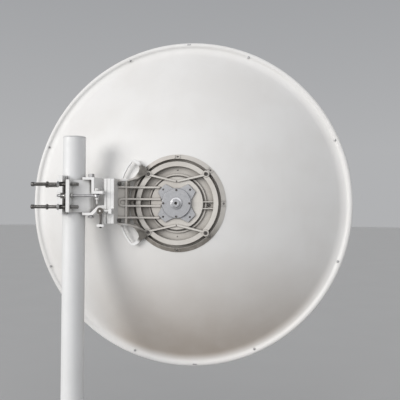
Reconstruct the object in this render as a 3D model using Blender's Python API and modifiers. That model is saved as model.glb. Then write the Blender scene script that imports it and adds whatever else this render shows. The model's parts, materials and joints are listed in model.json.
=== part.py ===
"""Parabolic dish antenna on a foot mast, with its two-axis pole bracket.

Metres, +Z up. The dish looks along +Y. The origin is the centre of the mast foot's underside,
and the mast stands along +Z at X = Y = 0. Heights on the bracket and the antenna are written
relative to the dish axis, and UP adds the height of that axis.
"""

import bpy
import bmesh
from math import atan2, cos, hypot, pi, sin, sqrt
from mathutils import Matrix, Vector

GAP = 0.0003                     # between pieces that touch
OVERLAP = 0.010                  # how far a cutter runs past what it cuts
SEAT = 0.002                     # how deep a joined piece sits in the next one

# Mast
MAST_HEIGHT = 1.500
MAST_RADIUS = 0.03805            # 76.1 mm tube
MAST_WALL = 0.0036
FOOT_SIZE = 0.250
FOOT_THICKNESS = 0.012
FOOT_CORNER = 0.015
GUSSET_REACH = 0.062
GUSSET_HEIGHT = 0.085
GUSSET_THICKNESS = 0.008
GUSSET_NOSE = 0.010
FOOT_HOLE_OFFSET = 0.096
FOOT_HOLE_RADIUS = 0.008
CAP_THICKNESS = 0.004
CAP_OVERHANG = 0.0005
CAP_BEVEL = 0.003
CAP_PLUG_LENGTH = 0.018

# Dish
DISH_AXIS_X = 0.348              # from the mast axis
UP = MAST_HEIGHT - 0.224         # height of the dish axis
DISH_RADIUS = 0.600
FOCAL_LENGTH = 0.3766
SHEET = 0.0022
VERTEX_Y = 0.030                 # where the back of the sheet would meet the dish axis
CENTRE_HOLE_RADIUS = 0.1535
FLARE_RADIUS = 0.548             # where the bowl starts to flare out into the rim
VALLEY_RADIUS = 0.578            # where the flare is level, at the foot of the rolled bead
FLARE_BANDS = 4
BEAD_RADIUS = 0.5905
BEAD_HALF_WIDTH = DISH_RADIUS - BEAD_RADIUS
BEAD_RISE = 0.0045               # towards the back, above the valley
BEAD_DROP = 0.0095               # towards the front
BEAD_STEPS = 6                   # on each side of its outermost point
BEAD_ARC = pi * 0.80             # from the outermost point back to the sheet, either way
SHEET_BANDS = 9
DISH_STEPS = 96

# Hub casting, radii about the dish axis and depths along Y
FLANGE_RADIUS = 0.1655
FLANGE_INNER = 0.1505
FLANGE_BACK_Y = 0.0370           # at its inner edge
FLANGE_EDGE_Y = 0.0470           # at its outer edge
GROOVE_WALL_RADIUS = 0.153       # passes through the reflector's centre hole
GROOVE_FLOOR_Y = 0.058
GROOVE_FRONT_Y = 0.062
RING_OUTER = 0.141
RING_INNER = 0.125
RING_BACK_Y = 0.033
LIP_OUTER = 0.0996
LIP_INNER = 0.0945
LIP_BACK_Y = 0.044
DRUM_RADIUS = 0.0888
DRUM_BACK_Y = 0.036
DRUM_WALL = 0.006
POCKET_FLOOR_Y = 0.050
HUB_FRONT_Y = 0.066
HUB_FRONT_RADIUS = 0.1445
HUB_BORE = 0.0205
HUB_STEPS = 56
CORNER_BOSS_OFFSET = 0.0985
CORNER_BOSS_RADIUS = 0.0115

# Hub arm and ribs
RIB = 0.006
RIB_BACK_Y = 0.029
ARM_BACK_Y = -0.003              # the ribs' edge where they leave the antenna's plate
ARM_SLOPE_END_X = 0.218
ARM_FRONT_Y = 0.0435
ARM_CENTRE_Z = 0.002
ARM_OUTER_RIB_Z = 0.0512
ARM_INNER_RIB_Z = 0.0115
ARM_OUTER_RIB_END_X = 0.290
ARM_INNER_RIB_END_X = 0.2935
ARM_BEND_X = 0.1685              # centre of the inner ribs' rounded end
ARM_CROSS_RIB_X = 0.179
ARM_CROSS_RIB_HALF = 0.0735
ARM_WEB_SINK = 0.006             # how far the web lies below the ribs' edge
ARM_WEB_THICKNESS = 0.005
ARM_WEB_HALF = 0.0710
NUT_POCKET_END_X = 0.172         # openings in the web beside the lock bolts
NUT_POCKET_HALF = 0.0085
SIDE_RIB_PATH = ((0.1500, 0.0715), (0.1850, 0.0750), (0.2130, 0.0838), (0.2350, 0.0950), (0.2480, 0.1000))
V_RIB_CORNER = 0.0950
V_RIB_TOP = (0.0020, 0.0738)
POCKET_RIB_Z = (0.0053, -0.0174)
EAR_Y = (0.036, 0.0445)
EAR_OUTLINE = (
    (0.1520, 0.0700), (0.1515, 0.0765), (0.1575, 0.0940), (0.1690, 0.1175), (0.1840, 0.1395),
    (0.1930, 0.1465), (0.2025, 0.1465), (0.2150, 0.1390), (0.2290, 0.1255), (0.2440, 0.1170),
    (0.2440, 0.0960), (0.2050, 0.0740),
)
EAR_OPENING = (
    (0.1590, 0.0800), (0.1650, 0.0970), (0.1770, 0.1195), (0.1905, 0.1375), (0.1990, 0.1378),
    (0.2115, 0.1280), (0.2180, 0.1165), (0.2150, 0.1055), (0.2030, 0.0890), (0.1900, 0.0800),
)

# Elevation joint: two plates face to face, turning about an X axis at Y = 0
BRACKET_FLANGE_X = 0.1204
PLATE_SPLIT_X = 0.1418
ANTENNA_PLATE_END_X = 0.1533
PLATE_HALF_DEPTH = 0.045
PLATE_BOTTOM = -0.0702
PLATE_TOP = 0.0797
PLATE_CORNER = 0.004
FLANGE_GROOVE_X = (0.1290, 0.1303)
FLANGE_GROOVE_DEPTH = 0.0016
ELEVATION_PIVOT_RADIUS = 0.008
PIVOT_STUB_X = (0.1230, 0.1512)  # the pivot's blind ends, one in each plate
LOCK_BOLT_RADIUS = 0.0035
LOCK_HEAD = (0.0075, 0.0060)     # radius and height of a hexagon, here and below
LOCK_TAIL = (0.0062, 0.0055)
LOCK_BOLT_UPPER_Z = 0.0635
LOCK_BOLT_LOWER_Z = -0.0595
LOCK_SLOT_HALF_TRAVEL = 0.0085
LOCK_SLOT_MARGIN = 0.0015

# Pole clamp, heights relative to the dish axis
CLAMP_TOP = 0.0752
CLAMP_BOTTOM = -0.0325
SADDLE_BACK_X = 0.066
SADDLE_HALF_DEPTH = 0.045        # beside its lugs
SADDLE_END_HALF_DEPTH = 0.026    # beside the azimuth bolt
SADDLE_CORNER = 0.004
LUG_HALF_DEPTH = 0.072
SADDLE_LUG_X = (-0.0015, 0.0105)
JAW_TOP = 0.0885
JAW_BOTTOM = -0.0380
JAW_LUG_X = (-0.0306, -0.0130)
JAW_SEAT_X = -0.0250             # the nuts' seats, sunk into the lug's left face
JAW_BACK_X = -0.0465
JAW_MOUTH_X = -0.009
JAW_SLOPE = 0.014
JAW_SHOULDER = 0.042
JAW_SLOT_HALF = 0.0072           # the rods' slots, open at the lugs' ends
JAW_SEAT_HALF = 0.0112
JAW_NOTCH_HALF = 0.0092          # room for the adjuster's left nut
ROD_Y = 0.058
ROD_RADIUS = 0.006
ROD_UPPER_Z = 0.0600
ROD_LOWER_Z = -0.0148
ROD_LEFT_X = -0.126
ROD_RIGHT_X = 0.037
ROD_CAP_LENGTH = 0.009
ROD_CAP_RADIUS = 0.0072
NUT_RADIUS = 0.0106
NUT_THICKNESS = 0.0100
SPARE_NUT_X = -0.0725
SPARE_NUT_THICKNESS = 0.004

# Azimuth joint: a vertical bolt through the saddle
PIVOT_X = 0.0605
PIVOT_RADIUS = 0.006
PIVOT_BOSS_RADIUS = 0.0100
PIVOT_BOSS_STRETCH = 1.6
PIVOT_HEAD = (0.0110, 0.0130)
PIVOT_TAIL = (0.0105, 0.0085)
BRACKET_TOP = 0.0838
BRACKET_LEFT_X = 0.045
BRACKET_HALF_DEPTH = 0.0445
LEG_X = (0.0760, 0.0855)
MIDDLE_PLATE_Z = (0.0285, 0.0385)
LOWER_PLATE_Z = (-0.0418, -0.0330)
LOWER_ARM_TOP = ((0.0745, -0.0330), (0.0990, -0.0098), (0.1250, -0.0070))
LOWER_ARM_BOTTOM = ((0.1250, -0.0190), (0.1035, -0.0205), (0.0800, -0.0418))

# Azimuth adjuster: a threaded rod from the saddle's lug to a pin on the bracket
ADJUSTER_Z = 0.0222
ADJUSTER_RADIUS = 0.0046
ADJUSTER_LEFT_X = -0.037
ADJUSTER_PIN_X = 0.1009
ADJUSTER_PIN_RADIUS = 0.0042
ADJUSTER_PIN_BOTTOM = -0.006
ADJUSTER_PIN_HEAD = (0.0080, 0.0085)
ADJUSTER_PIN_TAIL = (0.0068, 0.0070)
ADJUSTER_EYE_RADIUS = 0.010
ADJUSTER_EYE_HALF = 0.0060
ADJUSTER_ROD_OVERLAP = 0.0055    # from the pin's axis to the rod's end inside the eye
ADJUSTER_LUG_HALF = 0.011
ADJUSTER_NUT_RADIUS = 0.0080
ADJUSTER_NUT_LEFT = 0.0170
ADJUSTER_NUT_RIGHT = 0.0080
ADJUSTER_NUT_CLEARANCE = 0.0014  # the rod tilts a little as the bracket turns
ADJUSTER_HOLE_RADIUS = 0.0068

# Elevation adjuster: a stud that hangs from a pin on the antenna's plate, through a hook
SCREW_X = 0.1140
SCREW_Y = -0.0605
SCREW_TOP_Z = -0.0274
SCREW_BOTTOM_Z = -0.0830
SCREW_RADIUS = 0.004
SCREW_EYE_RADIUS = 0.009
SCREW_EYE_HALF = 0.0070
ELEVATION_PIN_RADIUS = 0.004
ELEVATION_PIN_HEAD = (0.0056, 0.0030)
PIN_LUG_HALF = 0.0085
HOOK_THICKNESS = 0.005
HOOK_WIDTH = 0.0075
HOOK_TOP = -0.048
HOOK_BOTTOM = -0.0785
HOOK_FOOT_TOP = -0.0705
HOOK_FOOT_X = 0.1040
HOOK_FOOT_Y = -0.0700
HOOK_HOLE_RADIUS = 0.0056

# Feed, on the dish axis
FEED_PLATE_THICKNESS = 0.005
FEED_LOBE_FAR = 0.0640
FEED_LOBE_NEAR = 0.0390
FEED_WAIST = 0.0506
FEED_WAIST_HALF = 0.0130
FEED_LOBE_HOLE = 0.0458
FEED_LOBE_HOLE_RADIUS = 0.0035
FEED_DISC_RADIUS = 0.0495
FEED_DISC_THICKNESS = 0.006
FEED_DISC_BEVEL = 0.001
BOSS_BASE_RADIUS = 0.0200
BOSS_BASE_LENGTH = 0.0030
BOSS_RADIUS = 0.0135
BOSS_LENGTH = 0.0085
BOSS_BEVEL = 0.001
WAVEGUIDE_RADIUS = 0.0050
WAVEGUIDE_DEPTH = 0.0065
FEED_COLLAR_RADIUS = 0.034
FEED_COLLAR_LENGTH = 0.006
FEED_TUBE_RADIUS = 0.016
FEED_TUBE_END_Y = 0.385
FEED_CONE_RADII = (0.014, 0.020, 0.038, 0.044)
FEED_CONE_STEPS = (0.012, 0.008)
FEED_CONE_END_Y = 0.420
SUBREFLECTOR_RADIUS = 0.062
SUBREFLECTOR_THICKNESS = 0.009
SUBREFLECTOR_BEVEL = 0.003

FACE_Y = (-pi / 2, 0.0, 0.0)     # turned shapes: local Z becomes +Y
OUTLINE_Y = (pi / 2, 0.0, 0.0)   # outlines in X and Z, extruded along Y
OUTLINE_X = (pi / 2, 0.0, pi / 2)  # outlines in Y and Z, extruded along X
OUTLINE_Z = (0.0, 0.0, 0.0)      # outlines in X and Y, extruded along Z


def clear_scene():
    for item in list(bpy.data.objects):
        bpy.data.objects.remove(item, do_unlink=True)


def new_collection(name):
    collection = bpy.data.collections.new(name)
    bpy.context.scene.collection.children.link(collection)
    return collection


clear_scene()
PARTS = new_collection("dish_antenna")
CUTTERS = new_collection("cutters")


def material(name, colour, roughness, metallic):
    made = bpy.data.materials.new(name)
    made.use_nodes = True
    shader = made.node_tree.nodes["Principled BSDF"]
    shader.inputs["Base Color"].default_value = (*colour, 1.0)
    shader.inputs["Roughness"].default_value = roughness
    shader.inputs["Metallic"].default_value = metallic
    return made


FINISHES = {
    "white_paint": ((0.80, 0.79, 0.77), 0.45, 0.0),
    "bracket_paint": ((0.82, 0.81, 0.79), 0.40, 0.0),
    "cast_paint": ((0.62, 0.59, 0.54), 0.50, 0.0),
    "bare_plate": ((0.60, 0.64, 0.68), 0.35, 0.9),
    "stainless": ((0.32, 0.30, 0.29), 0.40, 0.9),
    "cap_plastic": ((0.75, 0.75, 0.74), 0.50, 0.0),
    "feed_plastic": ((0.85, 0.84, 0.80), 0.45, 0.0),
}


def finish(item, finish_name):
    """Names an object's own material after it and shades its round faces smooth."""
    colour, roughness, metallic = FINISHES[finish_name]
    item.data.materials.clear()
    item.data.materials.append(material(item.name + "_" + finish_name, colour, roughness, metallic))
    item.data.shade_smooth()
    item.data.set_sharp_from_angle(angle=0.6)
    return item


def to_cutters(item):
    for collection in list(item.users_collection):
        collection.objects.unlink(item)
    CUTTERS.objects.link(item)
    item.hide_render = True
    item.display_type = "WIRE"
    return item


def add_mesh(name, mesh_data):
    item = bpy.data.objects.new(name, mesh_data)
    PARTS.objects.link(item)
    return item


def block(name, low, high):
    """A box between two corners."""
    shape = bmesh.new()
    bmesh.ops.create_cube(shape, size=1.0)
    size = [high[i] - low[i] for i in range(3)]
    bmesh.ops.scale(shape, vec=size, verts=shape.verts)
    mesh_data = bpy.data.meshes.new(name)
    shape.to_mesh(mesh_data)
    shape.free()
    item = add_mesh(name, mesh_data)
    item.location = [(low[i] + high[i]) / 2 for i in range(3)]
    return item


def rod(name, start, end, radius, sides=24):
    """A solid cylinder, or with six sides a hexagon, between two points."""
    start, end = Vector(start), Vector(end)
    run = end - start
    shape = bmesh.new()
    bmesh.ops.create_cone(shape, cap_ends=True, segments=sides, radius1=radius, radius2=radius,
                          depth=run.length)
    mesh_data = bpy.data.meshes.new(name)
    shape.to_mesh(mesh_data)
    shape.free()
    item = add_mesh(name, mesh_data)
    item.location = (start + end) / 2
    item.rotation_mode = "QUATERNION"
    item.rotation_quaternion = run.to_track_quat("Z", "Y")
    return item


def upright(name, x, y, bottom, top, radius, sides=24):
    """A cylinder along Z, its heights relative to the dish axis."""
    return rod(name, (x, y, UP + bottom), (x, y, UP + top), radius, sides)


def crosswise(name, x0, x1, y, z, radius, sides=16):
    """A cylinder along X, its height relative to the dish axis."""
    return rod(name, (x0, y, UP + z), (x1, y, UP + z), radius, sides)


def outline(name, loops, centre, half_thickness, turn):
    """A flat outline, with holes where a loop lies inside another, as a closed mesh."""
    curve = bpy.data.curves.new(name, "CURVE")
    curve.dimensions = "2D"
    curve.fill_mode = "BOTH"
    curve.extrude = half_thickness
    for loop in loops:
        spline = curve.splines.new("POLY")
        spline.points.add(len(loop) - 1)
        for point, (across, along) in zip(spline.points, loop):
            point.co = (across, along, 0.0, 1.0)
        spline.use_cyclic_u = True
    source = bpy.data.objects.new(name + "_curve", curve)
    CUTTERS.objects.link(source)
    source.location = centre
    source.rotation_euler = turn
    bpy.context.view_layer.update()
    evaluated = source.evaluated_get(bpy.context.evaluated_depsgraph_get())
    mesh_data = bpy.data.meshes.new_from_object(evaluated)
    welded = bmesh.new()
    welded.from_mesh(mesh_data)
    bmesh.ops.remove_doubles(welded, verts=welded.verts, dist=0.00001)
    bmesh.ops.recalc_face_normals(welded, faces=welded.faces)
    welded.to_mesh(mesh_data)
    welded.free()
    item = add_mesh(name, mesh_data)
    item.matrix_world = source.matrix_world.copy()
    bpy.data.objects.remove(source, do_unlink=True)
    return item


def turned(name, profile, steps, axis_x=DISH_AXIS_X, axis_z=UP, turn=FACE_Y):
    """A closed profile of (radius, position) points, turned about an axis with a Screw."""
    doubled_area = 0.0
    for (r0, h0), (r1, h1) in zip(profile, profile[1:] + profile[:1]):
        doubled_area += r0 * h1 - r1 * h0
    ordered = list(profile) if doubled_area < 0 else list(reversed(profile))
    on_axis = [point for point in ordered if point[0] == 0.0]
    mesh_data = bpy.data.meshes.new(name)
    shape = bmesh.new()
    points = [shape.verts.new((radius, 0.0, height)) for radius, height in ordered]
    for first, second in zip(points, points[1:] + points[:1]):
        both_on_axis = first.co.x == 0.0 and second.co.x == 0.0
        if not both_on_axis:
            shape.edges.new((first, second))
    shape.to_mesh(mesh_data)
    shape.free()
    item = add_mesh(name, mesh_data)
    item.location = (axis_x, 0.0, axis_z)
    item.rotation_euler = turn
    screw = item.modifiers.new("Turn", "SCREW")
    screw.steps = steps
    screw.render_steps = steps
    screw.use_merge_vertices = True
    screw.merge_threshold = 0.0001 if on_axis else 0.00001
    screw.use_smooth_shade = True
    return item


def made_real(item):
    """Applies an object's modifiers, so that it can be joined or cut."""
    bpy.context.view_layer.update()
    evaluated = item.evaluated_get(bpy.context.evaluated_depsgraph_get())
    mesh_data = bpy.data.meshes.new_from_object(evaluated)
    item.modifiers.clear()
    item.data = mesh_data
    return item


def combine(target, others, operation):
    """Joins pieces to a solid, or cuts them out of it, one exact Boolean each."""
    for other in others:
        to_cutters(other)
        step = target.modifiers.new(operation.lower() + "_" + other.name, "BOOLEAN")
        step.operation = operation
        step.solver = "EXACT"
        step.object = other
    return target


def join(target, others):
    return combine(target, others, "UNION")


def cut(target, others):
    return combine(target, others, "DIFFERENCE")


def circle(centre, radius, sides=20):
    return [(centre[0] + radius * cos(2 * pi * i / sides), centre[1] + radius * sin(2 * pi * i / sides))
            for i in range(sides)]


def rounded_box(low, high, radius, steps=4):
    """A rectangle with round corners, as points."""
    corners = (
        ((high[0] - radius, high[1] - radius), 0.0),
        ((low[0] + radius, high[1] - radius), pi / 2),
        ((low[0] + radius, low[1] + radius), pi),
        ((high[0] - radius, low[1] + radius), 3 * pi / 2),
    )
    points = []
    for (x, z), start in corners:
        for i in range(steps + 1):
            angle = start + (pi / 2) * i / steps
            points.append((x + radius * cos(angle), z + radius * sin(angle)))
    return points


def dish_back(radius):
    """Y of the sheet's back at a distance from the dish axis."""
    return VERTEX_Y + radius * radius / (4 * FOCAL_LENGTH)


def arm_back(x):
    """Y of the arm ribs' sloping edge, towards the camera's side."""
    rise = (RIB_BACK_Y - ARM_BACK_Y) / (ARM_SLOPE_END_X - ANTENNA_PLATE_END_X)
    return min(RIB_BACK_Y, ARM_BACK_Y + rise * (x - ANTENNA_PLATE_END_X))


def build_mast():
    half = FOOT_SIZE / 2
    offset = FOOT_HOLE_OFFSET
    holes = [circle((sx * offset, sy * offset), FOOT_HOLE_RADIUS) for sx in (-1, 1) for sy in (-1, 1)]
    base = outline("mast_base", [rounded_box((-half, -half), (half, half), FOOT_CORNER)] + holes,
                   (0, 0, FOOT_THICKNESS / 2), FOOT_THICKNESS / 2, OUTLINE_Z)
    inner = MAST_RADIUS + GAP
    outer = inner + GUSSET_REACH
    low = FOOT_THICKNESS - SEAT
    gusset_loop = [(inner, low), (outer, low), (outer, FOOT_THICKNESS + GUSSET_NOSE),
                   (inner + GUSSET_NOSE, GUSSET_HEIGHT), (inner, GUSSET_HEIGHT)]
    gussets = []
    for i in range(4):
        gusset = outline("gusset_%d" % i, [gusset_loop], (0, 0, 0), GUSSET_THICKNESS / 2, OUTLINE_Y)
        gusset.rotation_euler = (pi / 2, 0.0, i * pi / 2 + pi / 4)
        gussets.append(gusset)
    finish(join(base, gussets), "white_paint")
    bore = MAST_RADIUS - MAST_WALL
    top = MAST_HEIGHT - CAP_THICKNESS - GAP
    tube = turned("mast_tube", [(MAST_RADIUS, FOOT_THICKNESS + GAP), (MAST_RADIUS, top), (bore, top),
                                (bore, FOOT_THICKNESS + GAP)], 48, 0.0, 0.0, OUTLINE_Z)
    finish(tube, "white_paint")
    plug = bore - GAP
    brim = MAST_RADIUS + CAP_OVERHANG
    cap = turned("mast_cap", [(0.0, MAST_HEIGHT), (MAST_RADIUS - CAP_BEVEL, MAST_HEIGHT),
                              (brim, MAST_HEIGHT - CAP_BEVEL), (brim, top + GAP), (plug, top + GAP),
                              (plug, top - CAP_PLUG_LENGTH), (0.0, top - CAP_PLUG_LENGTH)],
                 48, 0.0, 0.0, OUTLINE_Z)
    finish(cap, "cap_plastic")


def pole_pocket(name):
    """The round seat that the mast leaves in the saddle and in the jaw."""
    return upright(name, 0, 0, JAW_BOTTOM - OVERLAP, JAW_TOP + OVERLAP, MAST_RADIUS + GAP, 48)


def rod_holes(name, lug):
    """Holes along X through a pair of lugs, for the four clamp rods."""
    holes = []
    for side in (-1, 1):
        for height in (ROD_UPPER_Z, ROD_LOWER_Z):
            label = "%s_hole_%d_%d" % (name, side, round(height * 1000))
            holes.append(crosswise(label, lug[0] - OVERLAP, lug[1] + OVERLAP, side * ROD_Y, height,
                                   ROD_RADIUS + GAP))
    return holes


def build_saddle():
    lug_left, lug_right = SADDLE_LUG_X
    boss = []
    for i in range(9):
        angle = -pi / 2 + pi * i / 8
        boss.append((PIVOT_X + PIVOT_BOSS_RADIUS * cos(angle),
                     PIVOT_BOSS_RADIUS * PIVOT_BOSS_STRETCH * sin(angle)))
    boss = [point for point in boss if point[0] > SADDLE_BACK_X]
    half_loop = [(lug_left, LUG_HALF_DEPTH), (lug_right, LUG_HALF_DEPTH), (lug_right, SADDLE_HALF_DEPTH),
                 (SADDLE_BACK_X - SADDLE_CORNER, SADDLE_END_HALF_DEPTH),
                 (SADDLE_BACK_X, SADDLE_END_HALF_DEPTH - SADDLE_CORNER), (SADDLE_BACK_X, 0.020)]
    loop = [(x, -y) for x, y in half_loop] + boss + half_loop[::-1]
    half = (CLAMP_TOP - CLAMP_BOTTOM) / 2
    saddle = outline("pole_saddle", [loop], (0, 0, UP + CLAMP_TOP - half), half, OUTLINE_Z)
    cutters = rod_holes("saddle", SADDLE_LUG_X)
    cutters.append(crosswise("saddle_adjuster_hole", lug_left - OVERLAP, lug_right + OVERLAP, -ROD_Y,
                             ADJUSTER_Z, ADJUSTER_HOLE_RADIUS))
    cutters.append(pole_pocket("saddle_pocket"))
    cutters.append(upright("saddle_bolt_hole", PIVOT_X, 0, CLAMP_BOTTOM - OVERLAP, CLAMP_TOP + OVERLAP,
                           PIVOT_RADIUS + GAP))
    finish(cut(saddle, cutters), "bracket_paint")


def jaw_cutters():
    """The rods' slots and nut seats, open at the lugs' ends, and the notch for the adjuster's nut."""
    lug_left, lug_right = JAW_LUG_X
    cutters = rod_holes("jaw", JAW_LUG_X)
    for side in (-1, 1):
        end = side * (LUG_HALF_DEPTH + OVERLAP)
        for height in (ROD_UPPER_Z, ROD_LOWER_Z):
            label = "%d_%d" % (side, round(height * 1000))
            low, high = sorted((side * ROD_Y, end))
            cutters.append(block("jaw_slot_" + label,
                                 (lug_left - OVERLAP, low, UP + height - JAW_SLOT_HALF),
                                 (lug_right + SEAT, high, UP + height + JAW_SLOT_HALF)))
            low, high = sorted((side * (SADDLE_HALF_DEPTH + SEAT / 2), end))
            cutters.append(block("jaw_seat_" + label,
                                 (lug_left - OVERLAP, low, UP + height - JAW_SEAT_HALF),
                                 (JAW_SEAT_X, high, UP + height + JAW_SEAT_HALF)))
    notch_z = UP + ADJUSTER_Z
    cutters.append(block("jaw_notch",
                         (lug_left - OVERLAP, -LUG_HALF_DEPTH - OVERLAP, notch_z - JAW_NOTCH_HALF),
                         (lug_right + SEAT, -SADDLE_HALF_DEPTH - SEAT, notch_z + JAW_NOTCH_HALF)))
    return cutters


def build_jaw():
    lug_left, lug_right = JAW_LUG_X
    half_loop = [(JAW_BACK_X, SADDLE_HALF_DEPTH - JAW_SLOPE), (lug_left, JAW_SHOULDER),
                 (lug_left, LUG_HALF_DEPTH), (lug_right, LUG_HALF_DEPTH),
                 (lug_right, SADDLE_HALF_DEPTH), (JAW_MOUTH_X, SADDLE_HALF_DEPTH)]
    loop = [(x, -y) for x, y in half_loop] + half_loop[::-1]
    half = (JAW_TOP - JAW_BOTTOM) / 2
    jaw = outline("clamp_jaw", [loop], (0, 0, UP + JAW_TOP - half), half, OUTLINE_Z)
    finish(cut(jaw, [pole_pocket("jaw_pocket")] + jaw_cutters()), "bracket_paint")


def nut(name, x, y, z, thickness, radius, bore):
    """A hexagon nut on a rod along X, its left face at x."""
    body = crosswise(name, x, x + thickness, y, z, radius, 6)
    cut(body, [crosswise(name + "_bore", x - SEAT, x + thickness + SEAT, y, z, bore)])
    return finish(body, "stainless")


def build_clamp_rods():
    bore = ROD_RADIUS + GAP
    for side, side_name in ((-1, "near"), (1, "far")):
        for height, height_name in ((ROD_UPPER_Z, "upper"), (ROD_LOWER_Z, "lower")):
            label = side_name + "_" + height_name
            y = side * ROD_Y
            body = crosswise("clamp_rod_" + label, ROD_LEFT_X, ROD_RIGHT_X, y, height, ROD_RADIUS)
            sleeve = crosswise("rod_end_" + label, ROD_LEFT_X - 0.001, ROD_LEFT_X + ROD_CAP_LENGTH, y,
                               height, ROD_CAP_RADIUS)
            finish(join(body, [sleeve]), "stainless")
            nut("clamp_nut_" + label, JAW_SEAT_X - GAP - NUT_THICKNESS, y, height, NUT_THICKNESS,
                NUT_RADIUS, bore)
            nut("spare_nut_" + label, SPARE_NUT_X, y, height, SPARE_NUT_THICKNESS, NUT_RADIUS, bore)


def plate_outline():
    return rounded_box((-PLATE_HALF_DEPTH, PLATE_BOTTOM), (PLATE_HALF_DEPTH, PLATE_TOP), PLATE_CORNER)


def build_azimuth_bracket():
    into_flange = LOWER_ARM_TOP[-1][0]
    seat = CLAMP_TOP + GAP
    upper = [(BRACKET_LEFT_X, seat), (BRACKET_LEFT_X, BRACKET_TOP), (LEG_X[1], BRACKET_TOP),
             (LEG_X[1], MIDDLE_PLATE_Z[1]), (into_flange, MIDDLE_PLATE_Z[1]),
             (into_flange, MIDDLE_PLATE_Z[0]), (LEG_X[0], MIDDLE_PLATE_Z[0]), (LEG_X[0], seat)]
    lower = [(BRACKET_LEFT_X, LOWER_PLATE_Z[0]), (BRACKET_LEFT_X, LOWER_PLATE_Z[1])]
    lower += list(LOWER_ARM_TOP) + list(LOWER_ARM_BOTTOM)
    flange = outline("azimuth_bracket", [plate_outline()],
                     ((BRACKET_FLANGE_X + PLATE_SPLIT_X) / 2, 0, UP),
                     (PLATE_SPLIT_X - BRACKET_FLANGE_X) / 2, OUTLINE_X)
    lug = block("adjuster_lug",
                (ADJUSTER_PIN_X - ADJUSTER_LUG_HALF, -ROD_Y - ADJUSTER_LUG_HALF, UP + MIDDLE_PLATE_Z[0]),
                (into_flange - SEAT, -BRACKET_HALF_DEPTH + SEAT, UP + MIDDLE_PLATE_Z[1] - SEAT / 4))
    join(flange, [outline("bracket_upper", [upper], (0, 0, UP), BRACKET_HALF_DEPTH, OUTLINE_Y),
                  outline("bracket_lower", [lower], (0, 0, UP), BRACKET_HALF_DEPTH, OUTLINE_Y), lug])
    groove_bottom = -PLATE_HALF_DEPTH + FLANGE_GROOVE_DEPTH
    groove = block("flange_groove",
                   (FLANGE_GROOVE_X[0], -PLATE_HALF_DEPTH - OVERLAP, UP + PLATE_BOTTOM - OVERLAP),
                   (FLANGE_GROOVE_X[1], groove_bottom, UP + PLATE_TOP + OVERLAP))
    cutters = [groove,
               upright("pivot_bolt_cut", PIVOT_X, 0, LOWER_PLATE_Z[0] - OVERLAP, BRACKET_TOP + OVERLAP,
                       PIVOT_RADIUS + GAP),
               upright("adjuster_pin_cut", ADJUSTER_PIN_X, -ROD_Y, MIDDLE_PLATE_Z[0] - OVERLAP,
                       MIDDLE_PLATE_Z[1] + OVERLAP, ADJUSTER_PIN_RADIUS + GAP, 16),
               crosswise("elevation_pivot_cut", PIVOT_STUB_X[0] - GAP, PLATE_SPLIT_X + OVERLAP, 0, 0,
                         ELEVATION_PIVOT_RADIUS + GAP, 24)]
    across = LOCK_SLOT_HALF_TRAVEL + LOCK_BOLT_RADIUS
    tall = LOCK_BOLT_RADIUS + LOCK_SLOT_MARGIN
    for label, height in (("upper", LOCK_BOLT_UPPER_Z), ("lower", LOCK_BOLT_LOWER_Z)):
        slot = rounded_box((-across, height - tall), (across, height + tall), tall - 0.0005)
        cutters.append(outline("lock_slot_" + label, [slot],
                               ((BRACKET_FLANGE_X + PLATE_SPLIT_X) / 2, 0, UP),
                               (PLATE_SPLIT_X - BRACKET_FLANGE_X) / 2 + OVERLAP, OUTLINE_X))
    finish(cut(flange, cutters), "bracket_paint")


def build_pivot_bolt():
    radius, height = PIVOT_HEAD
    head_z = BRACKET_TOP + GAP
    head = upright("azimuth_pivot_bolt", PIVOT_X, 0, head_z, head_z + height, radius, 6)
    tail_radius, tail_height = PIVOT_TAIL
    tail_z = LOWER_PLATE_Z[0] - GAP
    tail = upright("pivot_tail", PIVOT_X, 0, tail_z - tail_height, tail_z, tail_radius, 6)
    shank = upright("pivot_shank", PIVOT_X, 0, tail_z - tail_height - SEAT, head_z + SEAT, PIVOT_RADIUS)
    finish(join(head, [shank, tail]), "stainless")


def build_adjuster_pin():
    radius, height = ADJUSTER_PIN_HEAD
    head_z = MIDDLE_PLATE_Z[1] + GAP
    head = upright("adjuster_pin", ADJUSTER_PIN_X, -ROD_Y, head_z, head_z + height, radius, 6)
    shank = upright("adjuster_pin_shank", ADJUSTER_PIN_X, -ROD_Y, ADJUSTER_PIN_BOTTOM, head_z + SEAT,
                    ADJUSTER_PIN_RADIUS, 16)
    tail_radius, tail_height = ADJUSTER_PIN_TAIL
    tail_z = ADJUSTER_Z - ADJUSTER_EYE_HALF - GAP
    tail = upright("adjuster_pin_tail", ADJUSTER_PIN_X, -ROD_Y, tail_z - tail_height, tail_z, tail_radius, 6)
    finish(join(head, [shank, tail]), "stainless")


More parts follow.
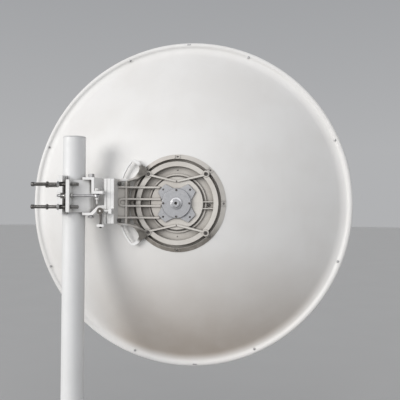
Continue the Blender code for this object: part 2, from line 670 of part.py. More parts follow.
def build_adjuster():
    """The threaded rod and its eye turn about the adjuster pin."""
    body = crosswise("adjuster_rod", ADJUSTER_LEFT_X, ADJUSTER_PIN_X - ADJUSTER_ROD_OVERLAP, -ROD_Y,
                     ADJUSTER_Z, ADJUSTER_RADIUS)
    eye = upright("adjuster_eye", ADJUSTER_PIN_X, -ROD_Y, ADJUSTER_Z - ADJUSTER_EYE_HALF,
                  ADJUSTER_Z + ADJUSTER_EYE_HALF, ADJUSTER_EYE_RADIUS)
    join(body, [eye])
    cut(body, [upright("adjuster_eye_bore", ADJUSTER_PIN_X, -ROD_Y, ADJUSTER_Z - OVERLAP,
                       ADJUSTER_Z + OVERLAP, ADJUSTER_PIN_RADIUS + GAP, 16)])
    finish(body, "stainless")
    bore = ADJUSTER_RADIUS + ADJUSTER_NUT_CLEARANCE
    nut("adjuster_nut_left", SADDLE_LUG_X[0] - GAP - ADJUSTER_NUT_LEFT, -ROD_Y, ADJUSTER_Z,
        ADJUSTER_NUT_LEFT, ADJUSTER_NUT_RADIUS, bore)
    nut("adjuster_nut_right", SADDLE_LUG_X[1] + GAP, -ROD_Y, ADJUSTER_Z, ADJUSTER_NUT_RIGHT,
        ADJUSTER_NUT_RADIUS, bore)


def build_elevation_hook():
    """The bracket's hook below the flange edge, which the elevation stud passes through."""
    edge_y = -PLATE_HALF_DEPTH - GAP
    hook = block("elevation_hook", (BRACKET_FLANGE_X, edge_y - HOOK_THICKNESS, UP + HOOK_BOTTOM),
                 (BRACKET_FLANGE_X + HOOK_WIDTH, edge_y, UP + HOOK_TOP))
    foot = block("hook_foot", (HOOK_FOOT_X, HOOK_FOOT_Y, UP + HOOK_BOTTOM),
                 (BRACKET_FLANGE_X + HOOK_WIDTH - SEAT / 4, edge_y - SEAT / 4, UP + HOOK_FOOT_TOP))
    join(hook, [foot])
    cut(hook, [upright("hook_hole", SCREW_X, SCREW_Y, HOOK_BOTTOM - OVERLAP, HOOK_FOOT_TOP + OVERLAP,
                       HOOK_HOLE_RADIUS, 16)])
    finish(hook, "bracket_paint")


def build_elevation_screw():
    """The eye block hangs on the elevation pin, and its stud reaches through the hook."""
    eye = rod("elevation_screw", (SCREW_X, SCREW_Y - SCREW_EYE_HALF, UP + SCREW_TOP_Z),
              (SCREW_X, SCREW_Y + SCREW_EYE_HALF, UP + SCREW_TOP_Z), SCREW_EYE_RADIUS)
    stud = upright("elevation_stud", SCREW_X, SCREW_Y, SCREW_BOTTOM_Z,
                   SCREW_TOP_Z - SCREW_EYE_RADIUS / 2 - GAP, SCREW_RADIUS, 16)
    join(eye, [stud])
    cut(eye, [crosswise("elevation_eye_bore", SCREW_X - 2 * OVERLAP, SCREW_X + 2 * OVERLAP, SCREW_Y,
                        SCREW_TOP_Z, ELEVATION_PIN_RADIUS + GAP)])
    finish(eye, "stainless")


def build_elevation_pin():
    radius, height = ELEVATION_PIN_HEAD
    head_x = SCREW_X - SCREW_EYE_RADIUS - GAP - height
    head = crosswise("elevation_pin", head_x, head_x + height, SCREW_Y, SCREW_TOP_Z, radius)
    shank = crosswise("elevation_pin_shank", head_x + height / 2, ANTENNA_PLATE_END_X - SEAT, SCREW_Y,
                      SCREW_TOP_Z, ELEVATION_PIN_RADIUS)
    finish(join(head, [shank]), "stainless")


def build_plate_bolts():
    """The elevation pivot and the two lock bolts, all along X in both plates."""
    left = BRACKET_FLANGE_X - GAP
    right = ANTENNA_PLATE_END_X + GAP
    finish(crosswise("elevation_pivot", *PIVOT_STUB_X, 0, 0, ELEVATION_PIVOT_RADIUS, 24), "stainless")
    for label, z in (("upper", LOCK_BOLT_UPPER_Z), ("lower", LOCK_BOLT_LOWER_Z)):
        radius, height = LOCK_HEAD
        head = crosswise("lock_bolt_" + label, left - height, left, 0, z, radius, 6)
        tail_radius, tail_height = LOCK_TAIL
        tail = crosswise("lock_tail_" + label, right, right + tail_height, 0, z, tail_radius, 6)
        shank = crosswise("lock_shank_" + label, left - height / 2, right + tail_height + SEAT, 0, z,
                          LOCK_BOLT_RADIUS)
        finish(join(head, [shank, tail]), "stainless")


def hub_profile():
    """Half section of the hub's round body, as (distance from the axis, Y)."""
    drum_inner = DRUM_RADIUS - DRUM_WALL
    return [(GROOVE_WALL_RADIUS, dish_back(GROOVE_WALL_RADIUS) - GAP),
            (FLANGE_RADIUS, dish_back(FLANGE_RADIUS) - GAP), (FLANGE_RADIUS, FLANGE_EDGE_Y),
            (FLANGE_INNER, FLANGE_BACK_Y), (FLANGE_INNER, GROOVE_FLOOR_Y), (RING_OUTER, GROOVE_FLOOR_Y),
            (RING_OUTER, RING_BACK_Y), (RING_INNER, RING_BACK_Y), (RING_INNER, POCKET_FLOOR_Y),
            (LIP_OUTER, POCKET_FLOOR_Y), (LIP_OUTER, LIP_BACK_Y), (LIP_INNER, LIP_BACK_Y),
            (LIP_INNER, POCKET_FLOOR_Y), (DRUM_RADIUS, POCKET_FLOOR_Y), (DRUM_RADIUS, DRUM_BACK_Y),
            (HUB_BORE, DRUM_BACK_Y), (HUB_BORE, DRUM_BACK_Y + DRUM_WALL),
            (drum_inner, DRUM_BACK_Y + DRUM_WALL), (drum_inner, HUB_FRONT_Y),
            (HUB_FRONT_RADIUS, HUB_FRONT_Y), (HUB_FRONT_RADIUS, GROOVE_FRONT_Y),
            (GROOVE_WALL_RADIUS, GROOVE_FRONT_Y)]


def run_to_radius(start, along, radius):
    """How far a line in X and Z runs before it comes within a radius of the dish axis."""
    x, z = start[0] - DISH_AXIS_X, start[1]
    middle = -(x * along[0] + z * along[1])
    off_axis = abs(x * along[1] - z * along[0])
    return middle - sqrt(radius * radius - off_axis * off_axis)


def straight_rib(name, start, end, back, pocket_from):
    """A rib between two points in X and Z, which fills the pocket between the ring and the drum.

    back lists (distance, Y) along its edge, and pocket_from is where it reaches the floor."""
    run = Vector((end[0] - start[0], end[1] - start[1]))
    drum = run_to_radius(start, run.normalized(), DRUM_RADIUS) + SEAT
    seat_y = DRUM_BACK_Y + SEAT
    floor_y = POCKET_FLOOR_Y + SEAT
    loop = list(back) + [(run.length, seat_y), (drum, seat_y), (drum, floor_y), (pocket_from, floor_y)]
    if pocket_from > 0.0:
        loop += [(pocket_from, ARM_FRONT_Y), (0.0, ARM_FRONT_Y)]
    return outline(name, [loop], (start[0], 0, UP + start[1]), RIB / 2, (0.0, -atan2(run.y, run.x), 0.0))


def path_rib(name, path, lowered):
    """A rib along a bent path in X and Z, whose edge follows the arm's slope."""
    sections = []
    for i, (x, z) in enumerate(path):
        before = Vector(path[max(i - 1, 0)])
        after = Vector(path[min(i + 1, len(path) - 1)])
        run = (after - before).normalized()
        side = Vector((-run.y, run.x)) * RIB / 2
        back = arm_back(x) + lowered
        left, right = (x + side.x, z + side.y), (x - side.x, z - side.y)
        sections.append(((left, back), (right, back), (right, ARM_FRONT_Y), (left, ARM_FRONT_Y)))
    shape = bmesh.new()
    rings = [[shape.verts.new((place[0], y, place[1])) for place, y in section] for section in sections]
    for first, second in zip(rings, rings[1:]):
        for i in range(4):
            shape.faces.new((first[i], first[(i + 1) % 4], second[(i + 1) % 4], second[i]))
    shape.faces.new(rings[0][::-1])
    shape.faces.new(rings[-1])
    bmesh.ops.triangulate(shape, faces=shape.faces)
    bmesh.ops.recalc_face_normals(shape, faces=shape.faces)
    mesh_data = bpy.data.meshes.new(name)
    shape.to_mesh(mesh_data)
    shape.free()
    item = add_mesh(name, mesh_data)
    item.location = (0, 0, UP)
    return item


def arm_ribs(side, label):
    """The straight ribs of the arm on one side of its middle, 1 above and -1 below."""
    ribs = []
    for kind, start_x, offset, end_x, lowered in (
            ("outer", ANTENNA_PLATE_END_X - SEAT, ARM_OUTER_RIB_Z, ARM_OUTER_RIB_END_X, 0.0),
            ("inner", ARM_BEND_X, ARM_INNER_RIB_Z, ARM_INNER_RIB_END_X, 0.0005)):
        z = ARM_CENTRE_Z + side * offset
        start = (start_x, z)
        back = [(0.0, arm_back(start_x) + lowered), (ARM_SLOPE_END_X - start_x, RIB_BACK_Y + lowered),
                (end_x - start_x, RIB_BACK_Y + lowered)]
        pocket = run_to_radius(start, (1.0, 0.0), RING_OUTER) + SEAT
        ribs.append(straight_rib("arm_%s_rib_%s" % (kind, label), start, (end_x, z), back, pocket))
    return ribs


def side_pieces(side, label):
    """The curved rib, the ear, the corner bosses and the V ribs on one side of the arm."""
    path = [(x, ARM_CENTRE_Z + side * z) for x, z in SIDE_RIB_PATH]
    loops = [[(x, side * z + ARM_CENTRE_Z) for x, z in loop] for loop in (EAR_OUTLINE, EAR_OPENING)]
    ear_middle = (EAR_Y[0] + EAR_Y[1]) / 2
    pieces = [path_rib("arm_side_rib_" + label, path, 0.0008),
              outline("ear_" + label, loops, (0, ear_middle, UP), (EAR_Y[1] - EAR_Y[0]) / 2, OUTLINE_Y)]
    for across, hand in ((-1, "left"), (1, "right")):
        corner = (DISH_AXIS_X + across * V_RIB_CORNER, side * V_RIB_CORNER)
        top = (DISH_AXIS_X + across * V_RIB_TOP[0], side * V_RIB_TOP[1])
        edge_y = RIB_BACK_Y + 0.001
        length = hypot(top[0] - corner[0], top[1] - corner[1])
        pieces.append(straight_rib("v_rib_%s_%s" % (label, hand), corner, top,
                                   [(0.0, edge_y), (length, edge_y)], 0.0))
        x = DISH_AXIS_X + across * CORNER_BOSS_OFFSET
        z = UP + side * CORNER_BOSS_OFFSET
        pieces.append(rod("corner_boss_%s_%s" % (label, hand), (x, GROOVE_FRONT_Y - SEAT, z),
                          (x, RING_BACK_Y - SEAT, z), CORNER_BOSS_RADIUS, 16))
    return pieces


def build_hub():
    hub = made_real(turned("hub_casting", hub_profile(), HUB_STEPS))
    plate_left = PLATE_SPLIT_X + GAP
    plate = outline("antenna_plate", [plate_outline()], ((plate_left + ANTENNA_PLATE_END_X) / 2, 0, UP),
                    (ANTENNA_PLATE_END_X - plate_left) / 2, OUTLINE_X)
    pin_z = UP + SCREW_TOP_Z
    lug = block("elevation_pin_lug",
                (plate_left + SEAT / 4, SCREW_Y - PIN_LUG_HALF, pin_z - PIN_LUG_HALF),
                (ANTENNA_PLATE_END_X - SEAT / 4, -PLATE_HALF_DEPTH + SEAT, pin_z + PIN_LUG_HALF))
    web_start = ANTENNA_PLATE_END_X - SEAT
    web_end = ARM_CROSS_RIB_X + RIB / 2 - SEAT / 4
    web_loop = [(web_start, arm_back(web_start) + ARM_WEB_SINK), (web_end, arm_back(web_end) + ARM_WEB_SINK)]
    web_loop += [(x, y + ARM_WEB_THICKNESS) for x, y in web_loop[::-1]]
    web = outline("arm_web", [web_loop], (0, 0, UP + ARM_CENTRE_Z), ARM_WEB_HALF, OUTLINE_Z)
    cut(web, [block("nut_pocket_%d" % round(height * 1000),
                    (ANTENNA_PLATE_END_X, -PLATE_HALF_DEPTH, UP + height - NUT_POCKET_HALF),
                    (NUT_POCKET_END_X, PLATE_HALF_DEPTH, UP + height + NUT_POCKET_HALF))
              for height in (LOCK_BOLT_UPPER_Z, LOCK_BOLT_LOWER_Z)])
    cross_low, cross_high = ARM_CENTRE_Z - ARM_CROSS_RIB_HALF, ARM_CENTRE_Z + ARM_CROSS_RIB_HALF
    cross = block("arm_cross_rib",
                  (ARM_CROSS_RIB_X - RIB / 2, arm_back(ARM_CROSS_RIB_X) + 0.001, UP + cross_low),
                  (ARM_CROSS_RIB_X + RIB / 2, ARM_FRONT_Y - 0.0005, UP + cross_high))
    bend = []
    for i in range(9):
        angle = pi / 2 + pi * i / 8
        bend.append((ARM_BEND_X + ARM_INNER_RIB_Z * cos(angle), ARM_CENTRE_Z + ARM_INNER_RIB_Z * sin(angle)))
    pieces = [plate, lug, web, cross, path_rib("arm_bend", bend, 0.0012)]
    for side, label in ((1, "upper"), (-1, "lower")):
        pieces += arm_ribs(side, label) + side_pieces(side, label)
        z = UP + POCKET_RIB_Z[0 if side > 0 else 1]
        pieces.append(block("pocket_rib_" + label,
                            (DISH_AXIS_X + DRUM_RADIUS - SEAT, DRUM_BACK_Y + 0.001, z - RIB / 4),
                            (DISH_AXIS_X + RING_INNER + SEAT, POCKET_FLOOR_Y + SEAT, z + RIB / 4)))
    join(hub, pieces)
    reach = (PLATE_SPLIT_X - OVERLAP, ANTENNA_PLATE_END_X + 2 * SEAT)
    cutters = [crosswise("plate_pivot_cut", reach[0], PIVOT_STUB_X[1] + GAP, 0, 0,
                         ELEVATION_PIVOT_RADIUS + GAP, 24),
               crosswise("plate_upper_cut", *reach, 0, LOCK_BOLT_UPPER_Z, LOCK_BOLT_RADIUS + GAP),
               crosswise("plate_lower_cut", *reach, 0, LOCK_BOLT_LOWER_Z, LOCK_BOLT_RADIUS + GAP),
               crosswise("pin_lug_cut", *reach, SCREW_Y, SCREW_TOP_Z, ELEVATION_PIN_RADIUS + GAP)]
    finish(cut(hub, cutters), "cast_paint")


def sheet_back():
    """Back of the sheet as (radius, Y, slope): the bowl, and the flare that levels out towards the rim."""
    places = []
    for i in range(SHEET_BANDS + 1):
        radius = CENTRE_HOLE_RADIUS + (FLARE_RADIUS - CENTRE_HOLE_RADIUS) * i / SHEET_BANDS
        places.append((radius, dish_back(radius), radius / (2 * FOCAL_LENGTH)))
    width = VALLEY_RADIUS - FLARE_RADIUS
    _, start_y, start_slope = places[-1]
    for i in range(1, FLARE_BANDS + 1):
        share = i / FLARE_BANDS
        y = start_y + start_slope * width * (share - share * share / 2)
        places.append((FLARE_RADIUS + width * share, y, start_slope * (1 - share)))
    return places


def reflector_profile():
    """Closed section of the spun sheet with its rolled rim bead."""
    back, front = [], []
    for radius, y, slope in sheet_back():
        length = hypot(1.0, slope)
        back.append((radius, y))
        front.append((radius - SHEET * slope / length, y + SHEET / length))
    valley_y = back[-1][1]
    middle = valley_y + (BEAD_DROP - BEAD_RISE) / 2
    half_height = (BEAD_DROP + BEAD_RISE) / 2
    bead = []
    for i in range(2 * BEAD_STEPS + 1):
        angle = BEAD_ARC * (i / BEAD_STEPS - 1)
        bead.append((BEAD_RADIUS + BEAD_HALF_WIDTH * cos(angle), middle + half_height * sin(angle)))
    return back + bead + front[::-1]


def build_reflector():
    finish(turned("reflector", reflector_profile(), DISH_STEPS), "white_paint")


def build_feed():
    lobes = []
    for quarter in range(4):
        turn = quarter * pi / 2
        corner = [(FEED_WAIST, FEED_WAIST_HALF), (FEED_LOBE_FAR, FEED_LOBE_NEAR),
                  (FEED_LOBE_NEAR, FEED_LOBE_FAR), (FEED_WAIST_HALF, FEED_WAIST)]
        lobes += [(x * cos(turn) - z * sin(turn), x * sin(turn) + z * cos(turn)) for x, z in corner]
    holes = [circle((sx * FEED_LOBE_HOLE, sz * FEED_LOBE_HOLE), FEED_LOBE_HOLE_RADIUS, 12)
             for sx in (-1, 1) for sz in (-1, 1)]
    plate_back = DRUM_BACK_Y - GAP - FEED_PLATE_THICKNESS
    plate = outline("feed_plate", [lobes] + holes, (DISH_AXIS_X, plate_back + FEED_PLATE_THICKNESS / 2, UP),
                    FEED_PLATE_THICKNESS / 2, OUTLINE_Y)
    finish(plate, "bare_plate")
    disc_front = plate_back - GAP
    disc_back = disc_front - FEED_DISC_THICKNESS
    disc = [(0.0, disc_front), (FEED_DISC_RADIUS, disc_front),
            (FEED_DISC_RADIUS, disc_back + FEED_DISC_BEVEL),
            (FEED_DISC_RADIUS - FEED_DISC_BEVEL, disc_back), (0.0, disc_back)]
    finish(turned("feed_disc", disc, 48), "bare_plate")
    boss_front = disc_back - GAP
    boss_back = boss_front - BOSS_LENGTH
    hole_end = boss_back + WAVEGUIDE_DEPTH
    boss = [(0.0, boss_front), (BOSS_BASE_RADIUS, boss_front),
            (BOSS_BASE_RADIUS, boss_front - BOSS_BASE_LENGTH),
            (BOSS_RADIUS, boss_front - BOSS_BASE_LENGTH - BOSS_BEVEL),
            (BOSS_RADIUS, boss_back + BOSS_BEVEL), (BOSS_RADIUS - BOSS_BEVEL, boss_back),
            (WAVEGUIDE_RADIUS, boss_back), (WAVEGUIDE_RADIUS, hole_end), (0.0, hole_end)]
    finish(turned("waveguide_boss", boss, 32), "bare_plate")
    collar = DRUM_BACK_Y + DRUM_WALL + GAP
    tube = [(0.0, collar), (FEED_COLLAR_RADIUS, collar), (FEED_COLLAR_RADIUS, collar + FEED_COLLAR_LENGTH),
            (FEED_TUBE_RADIUS, collar + FEED_COLLAR_LENGTH), (FEED_TUBE_RADIUS, FEED_TUBE_END_Y),
            (0.0, FEED_TUBE_END_Y)]
    finish(turned("feed_tube", tube, 32), "bare_plate")
    cone_start = FEED_TUBE_END_Y + GAP
    root, neck, mouth, brim = FEED_CONE_RADII
    cone = [(0.0, cone_start), (root, cone_start), (neck, FEED_TUBE_END_Y + FEED_CONE_STEPS[0]),
            (mouth, FEED_CONE_END_Y - FEED_CONE_STEPS[1]), (brim, FEED_CONE_END_Y),
            (0.0, FEED_CONE_END_Y)]
    finish(turned("feed_cone", cone, 32), "feed_plastic")
    plate_y = FEED_CONE_END_Y + GAP
    plate_end = FEED_CONE_END_Y + SUBREFLECTOR_THICKNESS
    mirror = [(0.0, plate_y), (SUBREFLECTOR_RADIUS, plate_y),
              (SUBREFLECTOR_RADIUS, plate_end - SUBREFLECTOR_BEVEL),
              (SUBREFLECTOR_RADIUS - SUBREFLECTOR_BEVEL, plate_end), (0.0, plate_end)]
    finish(turned("subreflector", mirror, 48), "bare_plate")


def turn_about(name, x, y, z, carried):
    """An empty on a joint's axis, which carries the pieces that turn about it."""
    empty = bpy.data.objects.new(name, None)
    PARTS.objects.link(empty)
    empty.location = (x, y, UP + z)
    back_to_world = Matrix.Translation(empty.location).inverted()
    for item in carried:
        item.parent = empty
        item.matrix_parent_inverse = back_to_world
    return empty


def parent_moving_pieces():
    def pieces(*names):
        return [bpy.data.objects[name] for name in names]

    screw_axis = turn_about("screw_swing_axis", SCREW_X, SCREW_Y, SCREW_TOP_Z, pieces("elevation_screw"))
    adjuster_axis = turn_about("adjuster_swing_axis", ADJUSTER_PIN_X, -ROD_Y, ADJUSTER_Z,
                               pieces("adjuster_rod"))
    antenna = pieces("hub_casting", "reflector", "feed_plate", "feed_disc", "waveguide_boss", "feed_tube",
                     "feed_cone", "subreflector", "elevation_pivot", "lock_bolt_upper",
                     "lock_bolt_lower", "elevation_pin")
    elevation_axis = turn_about("elevation_axis", PLATE_SPLIT_X, 0, 0, antenna + [screw_axis])
    turn_about("azimuth_axis", PIVOT_X, 0, 0,
               pieces("azimuth_bracket", "azimuth_pivot_bolt", "adjuster_pin", "elevation_hook")
               + [adjuster_axis, elevation_axis])


build_mast()
build_saddle()
build_jaw()
build_clamp_rods()
build_azimuth_bracket()
build_pivot_bolt()
build_adjuster_pin()
build_adjuster()
build_elevation_hook()
build_elevation_screw()
build_elevation_pin()
build_plate_bolts()
build_hub()
build_reflector()
build_feed()
parent_moving_pieces()
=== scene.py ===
import json
from math import cos, pi, radians, sin, sqrt, tan

import bpy
import bmesh
from mathutils import Matrix, Vector


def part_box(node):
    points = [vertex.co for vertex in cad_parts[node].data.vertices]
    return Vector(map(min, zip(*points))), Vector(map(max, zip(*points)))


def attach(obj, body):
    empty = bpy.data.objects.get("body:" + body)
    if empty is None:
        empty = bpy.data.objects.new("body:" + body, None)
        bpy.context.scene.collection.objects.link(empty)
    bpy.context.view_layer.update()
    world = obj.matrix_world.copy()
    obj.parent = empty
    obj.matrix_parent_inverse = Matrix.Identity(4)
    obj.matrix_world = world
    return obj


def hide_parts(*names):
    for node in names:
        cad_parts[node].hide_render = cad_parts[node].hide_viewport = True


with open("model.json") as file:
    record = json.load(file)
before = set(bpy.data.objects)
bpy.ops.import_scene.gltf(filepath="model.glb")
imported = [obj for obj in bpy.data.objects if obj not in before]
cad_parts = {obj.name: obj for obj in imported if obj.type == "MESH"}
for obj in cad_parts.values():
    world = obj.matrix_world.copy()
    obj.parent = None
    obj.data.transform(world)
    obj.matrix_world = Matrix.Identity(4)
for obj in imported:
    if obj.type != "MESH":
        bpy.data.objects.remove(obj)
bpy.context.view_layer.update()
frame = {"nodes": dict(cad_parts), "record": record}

# Lengths are in metres. X runs from the mast to the dish's axis, Y the way the dish looks, Z up.
# The photograph shows the back of the dish, so what is seen there faces -Y.
DISH_LOW, DISH_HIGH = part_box("reflector")
DISH_X = (DISH_LOW.x + DISH_HIGH.x) / 2
DISH_Z = (DISH_LOW.z + DISH_HIGH.z) / 2

# Reflector, from the hole at its centre out to the bead at its rim
FOCAL_LENGTH = 0.3766
VERTEX_Y = 0.030
SHEET = 0.0022
HOLE_RADIUS = 0.1535
FLARE_RADIUS = 0.548
VALLEY_RADIUS = 0.578
BEAD_RADIUS = 0.5905
BEAD_HALF_WIDTH = 0.0095
BEAD_RISE = 0.0045
BEAD_DROP = 0.0095
BEAD_ARC = pi * 0.80
DISH_STEPS = 240
SHEET_RINGS = 28
FLARE_RINGS = 12
BEAD_RINGS = 30
SHEET_SHARP = radians(28)

# Rim fittings. They are turned a little off even spacing: least at the top and most at the bottom
RIM_SCREWS = 8
RIM_SCREW_RADIUS = 0.584
RIM_SCREW_SINK = 0.0034
RIM_TURN = radians(1.5)
RIM_DRIFT = radians(1.75)
TAB_RADIUS = 0.5930
TAB_SIZE = (0.015, 0.0060, 0.0050)

# Meshes: points this near are one, a bend beyond this angle is a sharp edge, and a bar's edges are
# rounded by this share of its thinnest side
SAME_PLACE = 0.000002
SHARP = radians(32)
BAR_ROUNDING = 0.22

# Fasteners in general. A thread's depth and the taper at its ends are shares of its pitch, a
# hexagon's chamfer starts at a share of the half width across its flats, and MOST_SINK is the
# deepest countersink of a nut's bore
M12_PITCH = 0.00175
M8_PITCH = 0.00125
THREAD_DEPTH = 0.42
THREAD_TAPER = 0.8
THREAD_SIDES = 16
NUT_SIDES = 48
ROUND_SIDES = 40
CHAMFER = radians(30)
CHAMFER_START = 0.97
MOST_SINK = 0.0006
THREAD_FIT = 0.0003

# Hub
FLANGE_MARKS = (0, 1, 2, 6, 7)
FLANGE_MARK_RADIUS = 0.1575
FLANGE_MARK_Y = 0.0416
FLANGE_LEAN = radians(33.7)
FLANGE_LUG = (0.0160, 0.0036, 0.0026)
FLANGE_LUG_SPREAD = 0.0085
BOSS_BACK_Y = 0.031
BOSS_OFFSET = 0.0985
FEED_SCREWS = 4
FEED_SCREW_RADIUS = 0.0445
THROAT_RADIUS = 0.0049
THROAT_DEPTH = 0.0060
THROAT_WALL = 0.0003
THROAT_SINK = 0.0002
POCKET_FLOOR_Y = 0.050
POCKET_BOLT_RADIUS = 0.1075
POCKET_BOLT_Z = -0.0060
POCKET_SCREW_RADIUS = 0.1125
PLATE_EDGE_X = 0.1545
PLATE_EDGE_FADE = 0.002

# Small screws as (radius, height)
RIM_SCREW = (0.0036, 0.0026)
FLANGE_SCREW = (0.0027, 0.0028)
CORNER_SCREW = (0.0050, 0.0042)
POCKET_BOLT = (0.0040, 0.0040)
POCKET_SCREW = (0.0016, 0.0014)
FEED_SCREW = (0.0034, 0.0028)

# Small washers: the flange's as (radius, bore, thickness), and the thickness and top of the others
FLANGE_WASHER = (0.0036, 0.0014, 0.0009)
SCREW_WASHER = 0.0010
SCREW_WASHER_TOP = 0.0009

# Painted shade on the dish, warm as light from the ground, thickening downwards and to the right:
# pairs are where it starts and where it is full. It is left off the rim, which stays bright
LOW_SHADE_COLOUR = (0.45, 0.39, 0.335)
LOW_SHADE_DOWN = (DISH_Z - 0.10, DISH_LOW.z - 0.02)
LOW_SHADE_ACROSS = (DISH_X - 0.42, DISH_X - 0.17)
UNSHADED_RIM = (0.551, 0.590)

# Painted shade on the hub and painted light on its ears: pairs are where it starts and where it is
# full, or for EAR_FOOT and EAR_LOOP a place as (left of the dish's axis, above and below it)
LOW_FLANGE_SHADE = (0.26, 0.235, 0.205)
POCKET_SHADE = 0.45
POCKET_SHADE_FROM = (0.080, 0.088)
FLANGE_SHADE_IN = (0.149, 0.153)
FLANGE_SHADE_DOWN = (DISH_Z - 0.05, DISH_Z - 0.13)
GROOVE = (0.142, 0.147)
EAR_FOOT_SHADE = (0.12, 0.11, 0.095)
EAR_FOOT = (0.120, 0.110)
EAR_FOOT_REACH = (0.036, 0.016)
EAR_LOOP = (0.158, 0.125)
EAR_LOOP_REACH = (0.062, 0.050)
EAR_LOOP_FROM = (0.176, 0.192)

# Clamp rods: cap on the end as (length, chamfer, lip, bore), and where the thread starts inside it
ROD_CAP = (0.010, 0.0014, 0.0006, 0.0055)
ROD_THREAD_START = 0.004

# Pins, bolts and studs: head as (radius, height with its washer), tail as (radius, height, thread
# past it), eye as (radius, half width)
WASHER = 0.0014
WASHER_SPREAD = 1.12
BOLT_RADIUS = 0.006
BOLT_HEAD = (0.0110, 0.0130)
BOLT_TAIL = (0.0105, 0.0067, 0.0018)
PIN_RADIUS = 0.0042
PIN_HEAD = (0.0080, 0.0085)
PIN_TAIL = (0.0068, 0.0070, 0.0149)
LOCK_RADIUS = 0.0035
LOCK_HEAD = (0.0075, 0.0060)
LOCK_TAIL = (0.0062, 0.0043, 0.0012)
ADJUSTER_RADIUS = 0.0046
ADJUSTER_FIT = 0.0008
ADJUSTER_EYE = (0.010, 0.0060)
STUD_RADIUS = 0.004
STUD_EYE = (0.009, 0.0070)
EYE_EDGE = 0.0012
EYE_WASHER_RADIUS = 0.0112
HOOK_PIN_HEAD = (0.0056, 0.003)
HOOK_PIN_EDGE = 0.0006

# Weld bead at the foot of the mast
WELD_RADIUS = 0.0045
WELD_SINK = 0.0006
WELD_RIPPLE = 0.06
WELD_RIPPLES = 55.0
WELD_STEPS = 220

# Camera, fitted to the photograph's viewing angle
CAMERA_PLACE = Vector((0.7072, -1.8435, 1.261))
CAMERA_YAW = radians(8.488)
CAMERA_PITCH = radians(0.799)
CAMERA_ROLL = radians(0.413)
CAMERA_LENS = 51.12
SENSOR_WIDTH = 36.0

# Light and floor
KEY_FROM = Vector((-0.75, -0.63, 0.17))
KEY_STRENGTH = 1.90
KEY_ANGLE = radians(36)
KEY_COLOUR = (1.0, 0.985, 0.965)
FILL_FROM = Vector((0.05, -0.80, 0.58))
FILL_STRENGTH = 0.95
FILL_ANGLE = radians(60)
FILL_COLOUR = (0.985, 0.99, 1.0)
LAMP_DISTANCE = 4
HORIZON_COLOUR = (0.44, 0.445, 0.455)
HORIZON_HEIGHT = 0.10
ZENITH_COLOUR = (0.16, 0.17, 0.19)
FLOOR_COLOUR = (0.66, 0.655, 0.645)
FLOOR_SHADE = 0.985
FLOOR_RADIUS = 40.0

# Turns that bring a part's own Z axis onto X, Y or Z
TO_AXIS = {
    "X": Matrix(((0, 0, 1), (1, 0, 0), (0, 1, 0))),
    "Y": Matrix(((0, 1, 0), (0, 0, 1), (1, 0, 0))),
    "Z": Matrix.Identity(3),
}


# Shader helpers. Noise is drawn out evenly, or along the axis with the small number
EVEN = (1.0, 1.0, 1.0)
ALONG_X = (0.10, 1.0, 1.0)
ALONG_Z = (1.0, 1.0, 0.10)
BEVEL_SAMPLES = 4
HOLLOW_SAMPLES = 6


